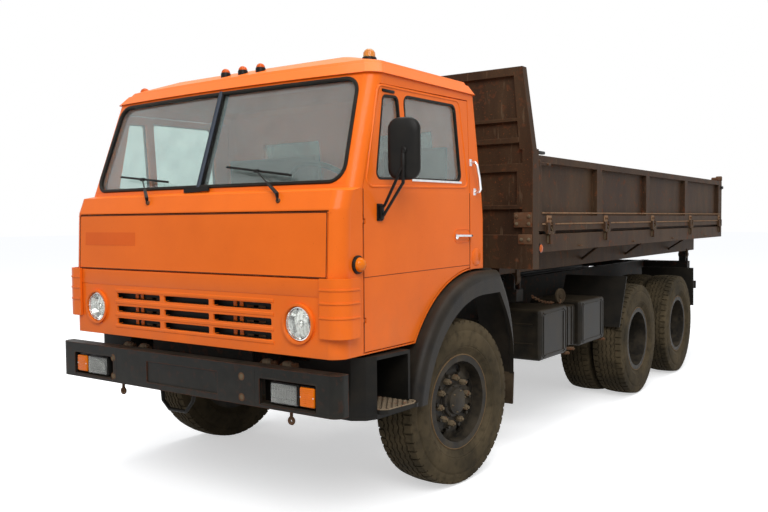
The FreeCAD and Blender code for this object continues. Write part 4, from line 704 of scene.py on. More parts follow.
seal = Shape()
seal.sweep([on_screen(p.x, p.y, 2)
            for p in divided(rounded(OPENING, SCREEN_ROUND, CURVE_STEPS), 90)],
           lipped(10.5, -14, 3, 6, 9), True, up=SCREEN_UP)
seal.piece("windscreen_seal", "cab", "rubber_black")
surround = Shape()
corner_patches(surround, OPENING, SCREEN_ROUND + 4, 9, lambda x, z: on_screen(x, z, 1.2))
surround.piece("windscreen_corners", "cab", "cab_orange")
divider = Shape()
DIVIDER = (1842, 1990, 2130, 2270, 2422)
divider.sweep([on_screen(0, z, 0) for z in DIVIDER], strip(23.5, -44, 23.5, 4), up=SCREEN_UP,
              mat=1)
divider.sweep([on_screen(0, z, 6) for z in DIVIDER], lipped(13, -6, 4, 8, 9), up=SCREEN_UP)
divider.sweep([on_screen(x, z, 16) for x, z in ((-106, 1828), (0, 1832), (102, 1836))],
              strip(4, -13, 4, 13), mat=1)
divider.piece("windscreen_divider", "cab", "seal_grey", "seal_grey", "trim_black")

SIDE_BELT, SIDE_TOP = 1103.0, 1082.0


def on_side(side, station, height, proud=0.0):
    """A point of the cab's side, which leans in above the belt."""
    x = SIDE_BELT + (SIDE_TOP - SIDE_BELT) * max(0.0, screen_part(height)) + proud
    return at(side * x, station, height)


QUARTER = [(-874, 1868), (-602, 1875), (-645, 2325), (-787, 2318)]
MAIN = [(-546, 1878), (30, 1882), (-20, 2345), (-587, 2338)]
EMBOSS = [(-972, 1822), (118, 1846), (34, 2378), (-828, 2370)]
CREASE = ((-997, 1346), (-700, 1349), (-400, 1352), (-100, 1355), (132, 1357))
HANDLE = ((1108, -50, 1546), (1124, -36, 1546), (1130, 20, 1545), (1130, 100, 1543),
          (1122, 118, 1542), (1108, 124, 1541))
GRAB = ((158, 2006, -2), (158, 2004, 34), (160, 1990, 44), (182, 1910, 46), (196, 1836, 44),
        (198, 1822, 34), (198, 1820, -2))
for hand, side in SIDES:
    outward = (side, 0, 0)
    panel = Shape()
    for outline, radius in ((QUARTER, 34), (MAIN, 46)):
        corner_patches(panel, outline, radius, 7, lambda y, z: on_side(side, y, z, 0.8))
    loop = [on_side(side, p.x, p.y, 0) for p in divided(rounded(EMBOSS, 46, 4), 150)]
    panel.sweep(loop, strip(9, -2, 4, 4.2), True, up=outward)
    # the crease under the windows: a thin darker strip, painted shade along the fold
    panel.sweep([on_side(side, y, z, 1) for y, z in CREASE], strip(2.2, -1, 1.8, 0.7), mat=1,
                up=outward)
    panel.lump(on_side(side, -738, 2346), (9, 56, 8), 4, 2)
    panel.piece(f"door_panel_lines_{hand}", f"door_{hand}", "cab_orange", "cab_orange",
                "seam_orange", "trim_black")
    shut = Shape()
    for station, low, high in ((-996, 958, 1810), (131, 1298, 1810)):
        shut.sweep([at(side * 1104, station, low), at(side * 1104, station, high)],
                   strip(2.6, -1, 2.2, 0.7), up=outward)
    shut.piece(f"door_shut_lines_{hand}", f"door_{hand}", "cab_orange", "gap_brown")
    trim = Shape()
    for outline, radius in ((QUARTER, 30), (MAIN, 42)):
        loop = [on_side(side, p.x, p.y, -1) for p in divided(rounded(outline, radius, 4), 150)]
        trim.sweep(loop, lipped(6.5, -14, 2, 3, 4), True, up=outward)
    trim.sweep([on_side(side, -535, 1870, 3), on_side(side, 24, 1874, 3)], strip(6, -6, 6, 4),
               mat=1, up=outward)
    trim.piece(f"door_window_trim_{hand}", f"door_{hand}", "rubber_black", "rubber_black",
               "chrome")
    # door handle in its cup's rim, key disc
    pull = Shape()
    loop = [at(side * 1104.5, p.x, p.y) for p in rounded(oblong(-62, 128, 1502, 1584), 38, 6)]
    pull.sweep(loop, strip(3, -3, 2, 2), True, mat=1, up=outward)
    pull.sweep([at(side * x, y, z) for x, y, z in HANDLE],
               [(0.006, -0.012), (0.008, 0), (0.006, 0.012), (-0.006, 0.012), (-0.008, 0),
                (-0.006, -0.012)], up=outward)
    pull.turned([(0, 0.017), (0.008, 0.017), (0.012, 0.012), (0.012, 0.001)],
                at(side * 1104, -38, 1540), outward, 20)
    pull.piece(f"door_handle_{hand}", f"door_{hand}", "chrome", "chrome", "cab_orange")
    # grab handle behind the door
    grab = Shape()
    grab.tube([on_side(side, *place) for place in GRAB], 0.009, sides=12, up=(0, 1, 0))
    for station, height in ((158, 2005), (198, 1821)):
        grab.lump(on_side(side, station, height), (4, 16, 22), 3)
    grab.piece(f"grab_handle_{hand}", "cab", "silver")
    # side repeater: amber dome on a black foot, and a blind round cap behind the door
    lamp = Shape()
    lamp.turned([(-0.002, 0.048), (0.010, 0.048), (0.016, 0.042), (0.016, 0.001)],
                at(side * 1104, -1052, 1417), outward)
    lamp.dome(at(side * 1119, -1052, 1417), outward, 0.039, 0.034, 1)
    lamp.piece(f"side_repeater_{hand}", "cab", "amber_glass", "trim_black", "amber_glass")
    cap = Shape()
    cap.turned([(-0.002, 0.056), (0.002, 0.056), (0.004, 0.053), (0.004, 0.001)],
               at(side * 1103.5, 214, 1404), outward, 36)
    cap.piece(f"side_cap_{hand}", "cab", "cab_orange")

# ---------------------------------------------------------------- lamps

HEAD_X, HEAD_Z = 848, 1111
CAB_FACE = -1222
NOSE = -1284  # the bumper's face, the front of the truck
LENS_RADIUS, LENS_RISE = 0.083, 0.028


def headlamp(shape, side):
    """Reflector bowl, bulb shield and a domed fluted lens in a chrome rim."""
    centre = at(side * HEAD_X, CAB_FACE + 16, HEAD_Z)
    shape.turned([(0.010, 0.090), (0.0, 0.086), (-0.030, 0.068), (-0.045, 0.030),
                  (-0.047, 0.001)], centre, AHEAD, 40)
    shape.turned([(-0.03, 0.0915), (0.014, 0.0915), (0.020, 0.088), (0.021, 0.083),
                  (0.014, 0.080), (0.008, 0.080)], centre, AHEAD, 48)
    lens = [(LENS_RISE * math.cos(t), LENS_RADIUS * math.sin(t) + 0.0005)
            for t in (math.pi / 2 * (i / 7) for i in range(8))]
    lens += [(v - 0.005, max(0.0005, u - 0.003)) for v, u in reversed(lens)]
    shape.turned([(v + 0.012, u) for v, u in lens], centre, AHEAD, 40, 1, closed=True)
    shape.dome(centre + Vector((0, 0.004, 0)), AHEAD, 0.022, 0.018)
    for i in range(-3, 4):
        x = 0.022 * i
        reach = math.sqrt(0.078 ** 2 - x * x)
        path = []
        for z in (-reach + 2 * reach * step / 8 for step in range(9)):
            fall = LENS_RISE * math.sqrt(max(0.0, 1 - (x * x + z * z) / LENS_RADIUS ** 2))
            path.append(centre + Vector((x, -0.0095 - fall, z)))
        shape.tube(path, 0.0022, mat=1, sides=6, up=LEFT)


heads = Shape()
bezels = Shape()
fogs = Shape()
for side in (1, -1):
    headlamp(heads, side)
    bezels.turned([(-0.004, 0.107), (0.006, 0.107), (0.013, 0.102), (0.015, 0.096),
                   (0.010, 0.0922), (-0.016, 0.0920)], at(side * HEAD_X, CAB_FACE, HEAD_Z),
                  AHEAD, 48)
    # white lamp with fluted glass, amber lamp with ribs
    fogs.blocks(((side * 690, NOSE + 14, 686), (side * 884, NOSE + 60, 806), 10, 2),
                ((side * 698, NOSE + 4, 694), (side * 876, NOSE + 12, 798), 9, 1),
                ((side * 702, NOSE + 12, 698), (side * 872, NOSE + 14, 794), 0, 0),
                ((side * 890, NOSE + 22, 690), (side * 998, NOSE + 60, 802), 6, 2),
                ((side * 895, NOSE + 6, 695), (side * 993, NOSE + 22, 797), 10, 3))
    for x in (side * (708 + 158 * i / 14) for i in range(15)):
        fogs.tube([at(x, NOSE + 3.4, 704), at(x, NOSE + 3.4, 788)], 0.0022, mat=1, sides=6)
    for z in (722, 770):
        fogs.tube([at(side * x, NOSE + 3.0, z) for x in (704, 870)], 0.002, mat=1, sides=6)
    for z in (704 + 84 * i / 8 for i in range(9)):
        fogs.tube([at(side * x, NOSE + 5.6, z) for x in (900, 988)], 0.0022, mat=3, sides=6)
    for x in (902, 986):
        fogs.dome(at(side * x, NOSE + 6, 746), AHEAD, 0.004, 0.003, 0, 10, 3)
made = heads.piece("headlamp_units", "cab", "lamp_glass", "chrome", "lamp_glass")
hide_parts("headlamps")
bezels.piece("headlamp_bezels", "cab", "cab_orange")
made = fogs.piece("bumper_lamp_units", "chassis", "lamp_glass", "lamp_white", "lamp_glass",
                  "trim_black", "amber_glass")
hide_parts("bumper_lamps")

domes = Shape()
MARKERS = (  # across, station, radius, top, lens paint
    (-150, -745, 31, 2604, 1), (0, -745, 31, 2604, 1), (150, -745, 31, 2604, 1),
    (-934, -745, 36, 2560, 1), (935, -700, 42, 2600, 2),
)
BEACON = 2
UP = (0, 0, 1)
for x, station, radius, top, lens in MARKERS:
    r = radius * MM
    rise = r * (1.15 if lens == BEACON else 0.85)
    seat = at(x, station, top) - Vector((0, 0, rise))
    domes.turned([(-0.075, r), (-0.010, r), (-0.004, r * 0.96), (0.0, r * 0.90),
                  (0.0, 0.001)], seat, UP, 28)
    if lens == BEACON:
        domes.turned([(0, r * 0.84), (rise * 0.5, r * 0.80), (rise * 0.78, r * 0.62),
                      (rise * 0.94, r * 0.34), (rise, 0.001)], seat, UP, 28, lens)
    else:
        domes.dome(seat, UP, r * 0.88, rise, lens)
made = domes.piece("roof_lamp_domes", "cab", "amber_glass", "trim_black", "orange_dome",
                   "beacon_amber")
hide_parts("roof_lamps")

# ---------------------------------------------------------------- wipers and mirror

WIPERS = (  # pivot across and height, blade's two ends across and height
    ((-376, 1760), (-770, 1935), (-270, 1885)), ((685, 1752), (210, 1955), (700, 1890)),
)


def bowed(ends, parts, first, last, bow, off):
    """Points between two ends, bowed ahead between first and last, all of them off ahead."""
    return [ends[0].lerp(ends[1], t)
            - Vector((0, bow * math.sin(math.pi * (t - first) / (last - first)) + off, 0))
            for t in parts]


wipers = Shape()
for pivot, first, last in WIPERS:
    base = at(pivot[0], -1186, pivot[1])
    ends = [on_screen(*first, 24), on_screen(*last, 24)]
    middle = ends[0].lerp(ends[1], 0.5) + Vector((0, -0.007, 0))
    knee = at(pivot[0], -1196, 1790)
    reach = knee.lerp(middle, 0.42)
    wipers.turned([(-0.030, 0.013), (0.004, 0.013), (0.010, 0.011), (0.013, 0.006),
                   (0.014, 0.001)], base, (0, -0.9, 0.4), 20, 1)
    wipers.sweep([base + Vector((0, -0.008, 0)), knee, reach], strip(9, -4, 8, 6))
    wipers.tube([reach.lerp(knee, 0.2), middle], 0.0042)
    wipers.lump(middle, (20, 6, 10), 3)
    wipers.sweep(bowed(ends, (0.0, 0.12, 0.3, 0.5, 0.7, 0.88, 1.0), 0, 1, 0.008, 0),
                 strip(3, -3, 3, 3))
    for a, b in ((0.12, 0.42), (0.58, 0.88)):
        wipers.sweep(bowed(ends, (a, (a + b) / 2, b), a, b, 0.014, 0.004), strip(4, -2, 4, 2))
    wipers.sweep([p + Vector((0, 0.007, 0)) for p in ends], strip(4, -6, 2, 7))
made = wipers.piece("wiper_sets", "cab", "trim_black", "trim_black", "rusty")
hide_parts("wipers")

mirror = Shape()
HEAD_RINGS = (  # depth behind the head's middle, share of the outline
    (14, 0.94), (15, 0.97), (11, 1.0), (1, 1.0), (-8, 0.965), (-15, 0.87), (-19, 0.66),
    (-21, 0.30),
)
HEAD_MIDDLE, HEAD_TURN = at(1237, -811, 2022), math.radians(20)


def on_head(across, up, depth):
    """A point of the mirror head, which is turned towards the driver."""
    turned = Matrix.Rotation(HEAD_TURN, 3, "Z") @ (Vector((across, depth, up)) * MM)
    return HEAD_MIDDLE + turned


outline = rounded(oblong(-88, 88, -165, 165), 62, 7)
count = len(outline)
rings = len(HEAD_RINGS)
mirror.add([on_head(p.x * share, p.y * share, depth) for depth, share in HEAD_RINGS
            for p in outline],
           quads(rings, count, False) + [list(range((rings - 1) * count, rings * count))])
glass_depth, glass_share = HEAD_RINGS[0]
mirror.add([on_head(p.x * glass_share, p.y * glass_share, glass_depth) for p in outline],
           [list(range(count))], 1)
mirror.turned([(-0.004, 0.017), (0.004, 0.017), (0.008, 0.012), (0.008, 0.001)],
              at(1250, -832, 2012), AHEAD, 20)
mirror.tube([at(1250, -838, 2016), at(1250, -838, 1930), at(1250, -840, 1838)], 0.0092)
mirror.turned([(-0.03, 0.0125), (0.03, 0.0125), (0.034, 0.010), (0.034, 0.001)],
              at(1250, -838, 1960), UP, 16)
for low, high, station in ((1712, 1925, -846), (1662, 1838, -852)):
    mirror.tube([at(1118, station, low), at(1134, station, low + 12), at(1240, -842, high - 12),
                 at(1250, -838, high + 4)], 0.0082)
mirror.blocks(((1105, -879, 1641), (1112, -831, 1734), 3, 0),
              ((1110, -868, 1650), (1129, -838, 1726), 6, 0))
for z in (1650, 1725):
    for station in (-871, -839):
        mirror.nut(at(1111, station, z), LEFT, 0.0065, 0.007)
mirror.tube([at(1250, -838, 2012), on_head(0, -10, -14)], 0.010)
made = mirror.piece("door_mirror", "door_left", "trim_black", "trim_black", "chrome")
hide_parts("mirror_left")

# ---------------------------------------------------------------- front panel


def on_front(across, height, proud=0.0):
    """A point of the cab's front below the belt."""
    lean = 14 * max(0.0, height - 1300) / 350
    return at(across, CAB_FACE + lean + 3 * (across / 1040) ** 2 - proud, height)


patch = Shape()
patch.add([on_front(-972 + 62.5 * i, z, 1.0) for z in (1582, 1501) for i in range(9)],
          quads(2, 9, False, False))
patch.piece("hatch_bare_patch", "hatch", "cab_orange", "hatch_patch")

crease = Shape()
crease.sweep([on_front(x, 1259) for x in (-1036, -700, -350, 0, 350, 700, 990)],
             [(-0.086, -0.002), (0.004, -0.002), (0.004, 0.001), (-0.002, 0.0045),
              (-0.086, 0.0006)], up=AHEAD)
for z in (1222, 1150, 1070, 1000):
    crease.sweep([on_front(x, z) for x in (-664, -300, 0, 300, 672)], strip(12, -2, 7, 3.5),
                 up=AHEAD)
crease.piece("front_crease", "cab", "cab_orange")

# dark edge round the hatch; it rides the hatch, so nothing passes through it
gap = Shape()
for z in (1688, 1356):
    gap.sweep([on_front(x, z) for x in range(-1029, 1030, 147)], strip(2.4, -1, 2.2, 0.5),
              up=AHEAD)
for x in (1029.5, -1029.5):
    gap.sweep([on_front(x, z) for z in (1357, 1687)], strip(2.4, -1, 2.2, 0.5), up=AHEAD)
gap.piece("hatch_gap_lines", "hatch", "cab_orange", "gap_brown")

liner = Shape()
GRILLE_ROWS = ((1012, 1051), (1089, 1127), (1172, 1208))
GRILLE_COLUMNS = ((-648, -243), (-206, 177), (210, 655))
LIP, DEPTH = -1211, -1176
for low, high in GRILLE_ROWS:
    for left, right in GRILLE_COLUMNS:
        corners = oblong(left + 1.2, right - 1.2, low + 1.2, high - 1.2)
        liner.add([at(x, y, z) for y in (LIP, DEPTH) for x, z in corners],
                  quads(2, 4, False) + [[4, 5, 6, 7]])
    for x in (-505, -455, 345, 395):
        liner.blocks(((x - 14, DEPTH - 6, low + 2), (x + 14, DEPTH - 1, high - 2), 2, 1),
                     ((x + 90, DEPTH - 4, low + 2), (x + 180, DEPTH - 1, low + 15), 2, 2))
liner.piece("grille_liners", "cab", "cab_orange", "well_black", "cab_orange", "rusty")

# ---------------------------------------------------------------- seats

CUSHION_STEPS = 26


def crowned(low, high, crown, channels, up):
    """A cushion whose face swells between sewn channels; up is the number of its thin axis."""
    size, centre = high - low, (low + high) / 2
    along, over = (i for i in range(3) if i != up)
    edge_points = CUSHION_STEPS + 1
    places = [2 * i / CUSHION_STEPS - 1 for i in range(edge_points)]
    points = []
    for sign in (1, -1):
        for u in places:
            for v in places:
                edge = (1 - abs(u) ** 5) * (1 - abs(v) ** 5)
                pull = 1 - 0.035 * (1 - (1 - u * u) * 0.5)
                lift = size[up] / 2 * (0.36 + 0.64 * edge ** 0.45)
                if sign > 0:
                    dent = sum(math.exp(-((u - c) / 0.03) ** 2) for c in channels)
                    lift += crown * (1 - u * u) * (1 - v * v) - 0.012 * dent * edge
                p = centre.copy()
                p[along] += u * size[along] / 2 * (1 - 0.02 * (1 - abs(v)) * abs(u))
                p[over] += v * size[over] / 2 * (1 - 0.02 * (1 - abs(u)) * abs(v)) * pull
                p[up] += sign * min(lift, size[up] / 2 + crown)
                points.append(p)
    face = quads(edge_points, edge_points, False, False)
    under = edge_points ** 2
    faces = face + [[under + i for i in quad[::-1]] for quad in face]
    last = CUSHION_STEPS
    rim = [(i, 0) for i in range(last)] + [(last, j) for j in range(last)]
    rim += [(i, last) for i in range(last, 0, -1)] + [(0, j) for j in range(last, 0, -1)]
    flat = [i * edge_points + j for i, j in rim]
    for a, b in zip(flat, flat[1:] + flat[:1]):
        faces.append([a, b, b + under, a + under])
    return Shape().add(points, faces)


FLOOR_Z = 1380
Y_AXIS, Z_AXIS = 1, 2
SEATS = (  # whose, its two sides across, sewn channels
    ("driver", 480, 960, (-0.45, 0.45)), ("passenger", -960, -100, (-0.6, -0.02, 0.02, 0.6)),
)
for name, x0, x1, channels in SEATS:
    pad = crowned(at(x0 + 4, -416, FLOOR_Z + 66), at(x1 - 4, 60, FLOOR_Z + 196), 0.012, channels,
                  Z_AXIS)
    made = pad.piece(f"{name}_seat_cushion", "cab", "seat_cloth", smooth=60)
    back = crowned(at(x0 + 4, 34, FLOOR_Z + 186), at(x1 - 4, 136, 2114), -0.012, channels, Y_AXIS)
    made_back = back.piece(f"{name}_seat_back", "cab", "seat_cloth", smooth=60)
    stand = Shape()
    stand.blocks(((x0 + 60, -20, FLOOR_Z), (x1 - 60, 100, FLOOR_Z + 66), 8, 0),
                 ((x0 + 90, -380, FLOOR_Z + 30), (x0 + 130, 60, FLOOR_Z + 66), 6, 0),
                 ((x1 - 130, -380, FLOOR_Z + 30), (x1 - 90, 60, FLOOR_Z + 66), 6, 0))
    stand.piece(f"{name}_seat_stand", "cab", "trim_black")
    if name == "driver":
        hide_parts("seats")

# ---------------------------------------------------------------- bed fittings

HINGE_STATIONS = (1048, 2196, 3460, 4796, 6090)
HOOK = ((1241, 1592), (1250, 1578), (1256, 1562), (1257, 1547), (1254, 1536))
PLATE_BOLTS = ((1140, 1664), (1232, 1664), (1140, 1612), (1232, 1612), (1176, 1504), (1232, 1504))
ROPE_HOOK = ((1237, -26, 1440), (1248, -22, 1438), (1250, 0, 1437), (1248, 22, 1438),
             (1237, 26, 1440))
# both sides are made on the left, and mirrored for the right
for hand, side in SIDES:
    hooks = Shape()
    plates = Shape()
    for y in HINGE_STATIONS:
        hooks.blocks(((1234, y - 40, 1590), (1243, y + 40, 1670), 5, 2))
        for shift in (-30.96, 30.96):
            hooks.sweep([at(x, y + shift, z) for x, z in HOOK], strip(11, -3, 11, 3), up=LEFT)
        for shift in (-20, 20):
            hooks.nut(at(1243, y + shift, 1646), LEFT, 0.009, 0.008, 1)
        hooks.turned([(-0.046, 0.007), (0.046, 0.007)], at(1248, y, 1604), (0, 1, 0), 12, 1)
        plates.blocks(((1235, y - 26, 1470), (1243, y + 26, 1530), 4, 0))
        plates.nut(at(1243, y, 1488), LEFT, 0.010, 0.009, 1)
    hooks.on(side).piece(f"board_hinge_straps_{hand}", f"board_{hand}", "bed_brown", "nut_steel",
                         "rusty", "rail_dust")
    plates.on(side).piece(f"bed_hinge_plates_{hand}", "bed", "bed_brown", "nut_steel", "rusty")
    # latch along the front of the board's top rail; pale strips along the upper edges of its bottom rail: dust and
    # painted highlight
    latch = Shape()
    latch.blocks(((1237, 866, 2020), (1249, 1060, 2042), 4, 0),
                 ((1237, 846, 2008), (1255, 884, 2056), 5, 0))
    latch.nut(at(1249, 1000, 2031), LEFT, 0.010, 0.007, 1)
    # pale strips on the rails' upper edges: painted highlight, with dust
    for z in (1687, 1608):
        latch.sweep([at(1237, 936, z), at(1237, 6160, z)], strip(6, -2, 4, 5), mat=2, up=LEFT)
    latch.on(side).piece(f"board_latch_{hand}", f"board_{hand}", "bed_brown", "bed_brown",
                         "rusty", "rail_dust")
    fittings = Shape()
    fittings.blocks(
        # handle on the post, corner plates, lip that closes the gap between floor and board
        ((1196, 846, 2101), (1226, 1014, 2123), 6, 1),
        ((1186, 800, 2118), (1240, 850, 2134), 5, 1),
        ((1118, 727, 1588), (1254, 736, 1690), 4, 2),
        ((1150, 727, 1470), (1254, 736, 1540), 4, 2),
        ((1174, 845, 1528), (1184, 6158, 1574), 2, 0),
        # tail corner: blocks and the seat of its lock pin
        ((1150, 6060, 2091), (1236, 6170, 2132), 12, 2),
        ((1176, 6176, 2091), (1244, 6228, 2150), 10, 2),
        ((1226, 6170, 1985), (1244, 6229, 2035), 6, 1))
    for x, z in PLATE_BOLTS:
        fittings.nut(at(x, 727, z), AHEAD, 0.013, 0.010, 3)
    # reflector, rope hooks along the rail, lock pin
    fittings.turned([(0, 0.034), (0.005, 0.034), (0.007, 0.030), (0.007, 0.001)],
                    at(1236, 905, 1438), LEFT, 28, 1)
    fittings.dome(at(1242.5, 905, 1438), LEFT, 0.029, 0.007, 4)
    for y in (1630, 2900, 4120, 5440):
        fittings.tube([at(x, y + shift, z) for x, shift, z in ROPE_HOOK], 0.004, mat=2, sides=8)
    fittings.turned([(-0.03, 0.013), (0.016, 0.013), (0.018, 0.019), (0.023, 0.019),
                     (0.023, 0.001)], at(1236, 6200, 2010), LEFT, 16, 1)
    fittings.on(side).piece(f"bed_fittings_{hand}", "bed", "bed_brown", "bed_brown", "trim_black",
                            "rusty", "nut_steel", "orange_dome")

# ---------------------------------------------------------------- bumper, steps, boxes

fasteners = Shape()
for x in (488, -618):
    for z in (810, 697):
        # heads sunk to the face: the bumper's face is the front of the part's box
        for radius, proud, count, paint in ((0.022, 0.0002, 24, 3), (0.0145, 0.0004, 6, 0)):
            fasteners.turned([(-0.002, radius), (proud, radius), (proud, 0.0005)],
                             at(x, NOSE, z), AHEAD, count, paint)
for side in (1, -1):
    # tray behind the lamps, rim round their opening, lit ledge in it, seam beside it
    fasteners.blocks(((side * 590, -1206, 664), (side * 1128, -1199, 826), 2, 2),
                     ((side * 626, NOSE + 1, 676), (side * 1004, NOSE + 30, 681), 2, 1))
    fasteners.sweep([at(side * p.x, NOSE + 1.0, p.y)
                     for p in rounded([(612, 668), (1016, 668), (1016, 820), (612, 820)], 16, 4)],
                    strip(6, -3, 4, 1.4), True, 1, up=AHEAD)
    fasteners.sweep([at(side * 586, NOSE, 664), at(side * 586, NOSE, 870)],
                    strip(1.2, -1, 1, 0.3), mat=2, up=AHEAD)
    # eye bolts that hang below
    eye_x = 793 if side > 0 else -597
    fasteners.tube([at(eye_x, -1226, 662), at(eye_x, -1226, 616)], 0.009, mat=3)
    ring = [at(eye_x + 15 * math.cos(t), -1226, 598 + 15 * math.sin(t))
            for t in (math.pi * i / 8 for i in range(16))]
    fasteners.tube(ring, 0.009, True, 3, 8, (0, 1, 0))
    # towing and air fittings in the gap above
    for shift in (0, 150):
        low_x, high_x = sorted((side * (470 + shift), side * (580 + shift)))
        fasteners.tube([at(low_x, -1116, 850), at(low_x + 30, -1120, 872),
                        at(high_x, -1118, 866)], 0.012, mat=3)
        fasteners.turned([(-0.02, 0.020), (0.018, 0.020), (0.020, 0.015), (0.034, 0.015),
                          (0.034, 0.001)], at((low_x + high_x) / 2, -1120, 868), (1, 0, 0.1),
                         12, 4)
        fasteners.nut(at(high_x, -1118, 866), (side, 0, 0), 0.018, 0.014, 3)
    fasteners.blocks(((side * 433, -1112, 800), (side * 800, -1082, 842), 4, 2))
fasteners.sweep([at(-300, NOSE + 1, 694), at(300, NOSE + 1, 694)], strip(3, -2, 1, 1.2), mat=1,
                up=AHEAD)
fasteners.tube([at(x, -1150, z) for x, z in ((-330, 660), (-316, 560), (-258, 512), (-113, 514),
                                             (-52, 582), (-30, 660))], 0.011, mat=2)
fasteners.piece("bumper_fittings", "chassis", "bumper_black", "nut_steel", "wing_plastic",
                "well_black", "rusty", "pale_steel")

PLATE = [(866, -758), (1100, -920), (1150, -922), (1180, -896), (1207, -690), (1186, -640),
         (866, -640)]
PLATE_Z = 640


def inside(spot, corners):
    """Whether a flat point lies in a polygon."""
    hit = False
    for i, (ax, ay) in enumerate(corners):
        bx, by = corners[i - 1]
        if (ay > spot[1]) != (by > spot[1]):
            if spot[0] < (bx - ax) * (spot[1] - ay) / (by - ay) + ax:
                hit = not hit
    return hit


tread = Shape()
CELL_X, CELL_Y, LIFT, BAR = 34, 26, 5, 0.30
TIPS = ((-CELL_X / 2, 0), (0, -CELL_Y / 2), (CELL_X / 2, 0), (0, CELL_Y / 2))
NEEDED = ((-15, 0), (15, 0), (0, -11), (0, 11))  # these have to lie on the plate
for side in (1, -1):
    for row in range(14):
        for column in range(12):
            x = 866 + CELL_X * (column + (0.5 if row % 2 else 0.0))
            y = -930 + CELL_Y * row
            if all(inside((x + dx, y + dy), PLATE) for dx, dy in NEEDED):
                tread.add([at(side * (x + dx * share), y + dy * share, PLATE_Z + lift)
                           for share, lift in ((1, 0), (1 - BAR / 2, LIFT), (1 - BAR, 0))
                           for dx, dy in TIPS], quads(3, 4, False))
    tread.tube([at(side * p.x, p.y, PLATE_Z + 1) for p in rounded(PLATE, 12, 3)], 0.0055, True,
               0, 8)
tread.piece("step_treads", "chassis", "bumper_black", "pale_steel", smooth=10)

# boxes on the frame's left: raised frames on their sides, straps, the link between them
boxes = Shape()
for y0, y1, z0, z1 in ((1094, 1600, 600, 975), (1864, 2409, 615, 977)):
    panel = oblong(y0 + 34, y1 - 34, z0 + 34, z1 - 34)
    boxes.sweep([at(1150, p.x, p.y) for p in rounded(panel, 18, 4)], strip(7, -3, 4, 5), True,
                up=LEFT)
    for y in (y0 + 70, y1 - 70):
        boxes.sweep([at(1151, y, z1 - 20), at(1151, y, z0 + 20)], strip(13, -2, 13, 4), up=LEFT)
    for z in (z0 + 120, z1 - 110):
        boxes.sweep([at(760, y0, z), at(1090, y0, z)], strip(9, -2, 5, 6), up=AHEAD)
boxes.blocks(((745, 1594, 632), (1112, 1870, 952), 20, 0))
for y in (1640, 1700, 1780):
    boxes.sweep([at(1112, y, 944), at(1112, y, 640)], strip(10, -2, 8, 6), up=LEFT)
for y, z in ((1612, 592), (1712, 612), (2392, 606)):
    boxes.blocks(((1060, y - 22, z - 8), (1144, y + 40, z + 10), 3, 1))
    boxes.nut(at(1144, y + 8, z), LEFT, 0.012, 0.012, 1)
boxes.piece("side_box_trim", "chassis", "frame_black", "box_black", "rusty")

# rubber on the wing's rear top, pipe tray along the frame
fillers = Shape()
fillers.blocks(((800, 342, 1268), (1112, 430, 1322), 12, 0),
               ((-1112, 342, 1268), (-800, 430, 1322), 12, 0),
               ((-312, 1500, 985), (-300, 5560, 1140), 3, 0))
for z in (1020, 1052, 1084, 1112):
    fillers.tube([at(-296, 1510, z), at(-296, 5550, z)], 0.008, sides=8)
fillers.piece("frame_fillers", "chassis", "frame_black", "well_black")

# pulley and its chain on the front box's top
pulley = Shape()
pulley.turned([(-0.009, 0.058), (-0.006, 0.060), (-0.003, 0.052), (0.003, 0.052), (0.006, 0.060),
               (0.009, 0.058), (0.009, 0.046), (0.005, 0.044), (0.005, 0.020), (0.012, 0.018),
               (0.012, 0.001)], at(1062, 1664, 1034), (0.97, -0.24, 0))
pulley.blocks(((1040, 1640, 974), (1070, 1680, 986), 3, 1))
pulley.tube([at(1062, 1664, 982), at(1062, 1664, 1010)], 0.009, mat=1)
pulley.piece("winch_pulley", "chassis", "frame_black", "mudflap", "rusty")
chain = Shape()
CHAIN = [at(1040, 1200 + 28 * i, 1064 - 74 * math.sin(math.pi / 2 * i / 13)) for i in range(14)]
for i, link in enumerate(CHAIN):
    ahead = (CHAIN[min(i + 1, 13)] - CHAIN[max(i - 1, 0)]).normalized()
    wide = Vector(UP).cross(ahead) if i % 2 else Vector(UP)
    oval = [link + ahead * 0.019 * math.cos(t) + wide * 0.010 * math.sin(t)
            for t in (2 * math.pi * k / 12 for k in range(12))]
    chain.tube(oval, 0.0035, True, 0, 6)
chain.piece("box_chain", "chassis", "frame_black", "rusty")

# flaps behind the front wheels, worn brown: front, back and outer edge
flaps = Shape()
FLAP_IN, FLAP_OUT, FLAP_TOP, FLAP_LOW = 929, 1179.5, 606, 391.5
for side in (1, -1):
    for high_y, low_y in ((591, 575), (607, 591)):
        flaps.add([at(side * x, y, z) for y, z in ((high_y, FLAP_TOP), (low_y, FLAP_LOW))
                   for x in (FLAP_IN, FLAP_OUT)], [[0, 1, 3, 2]])
    flaps.add([at(side * FLAP_OUT, y, z) for y, z in ((591, FLAP_TOP), (607, FLAP_TOP),
                                                      (591, FLAP_LOW), (575, FLAP_LOW))],
              [[0, 1, 2, 3]])
flaps.piece("front_flap_faces", "chassis", "trim_black", "mudflap")

tail = Shape()
for side in (1, -1):
    for x0, x1, paint in ((704, 786, 1), (788, 870, 2), (872, 956, 3)):
        tail.blocks(((side * x0, 6032, 768), (side * x1, 6044, 882), 8, paint))
    tail.blocks(((side * 698, 6026, 758), (side * 962, 6037, 892), 6, 0))
tail.piece("tail_lamp_lenses", "chassis", "frame_black", "trim_black", "lamp_glass", "red_glass",
           "amber_glass")

# ---------------------------------------------------------------- looks of the CAD nodes

LOOKS = dict.fromkeys(("front_hatch", "cab_shell", "door_left", "door_right", "deflectors"),
                      "cab_orange") | {"steps": "well_black", "side_boxes": "box_black"}
SLOTS = {row["node"]: row["material_slot"] for row in frame["record"]["subparts"]}
for name, node in frame["nodes"].items():
    node.data.materials.clear()
    node.data.materials.append(MAT[LOOKS.get(name, SLOTS.get(name))])

# ---------------------------------------------------------------- stage, light, camera


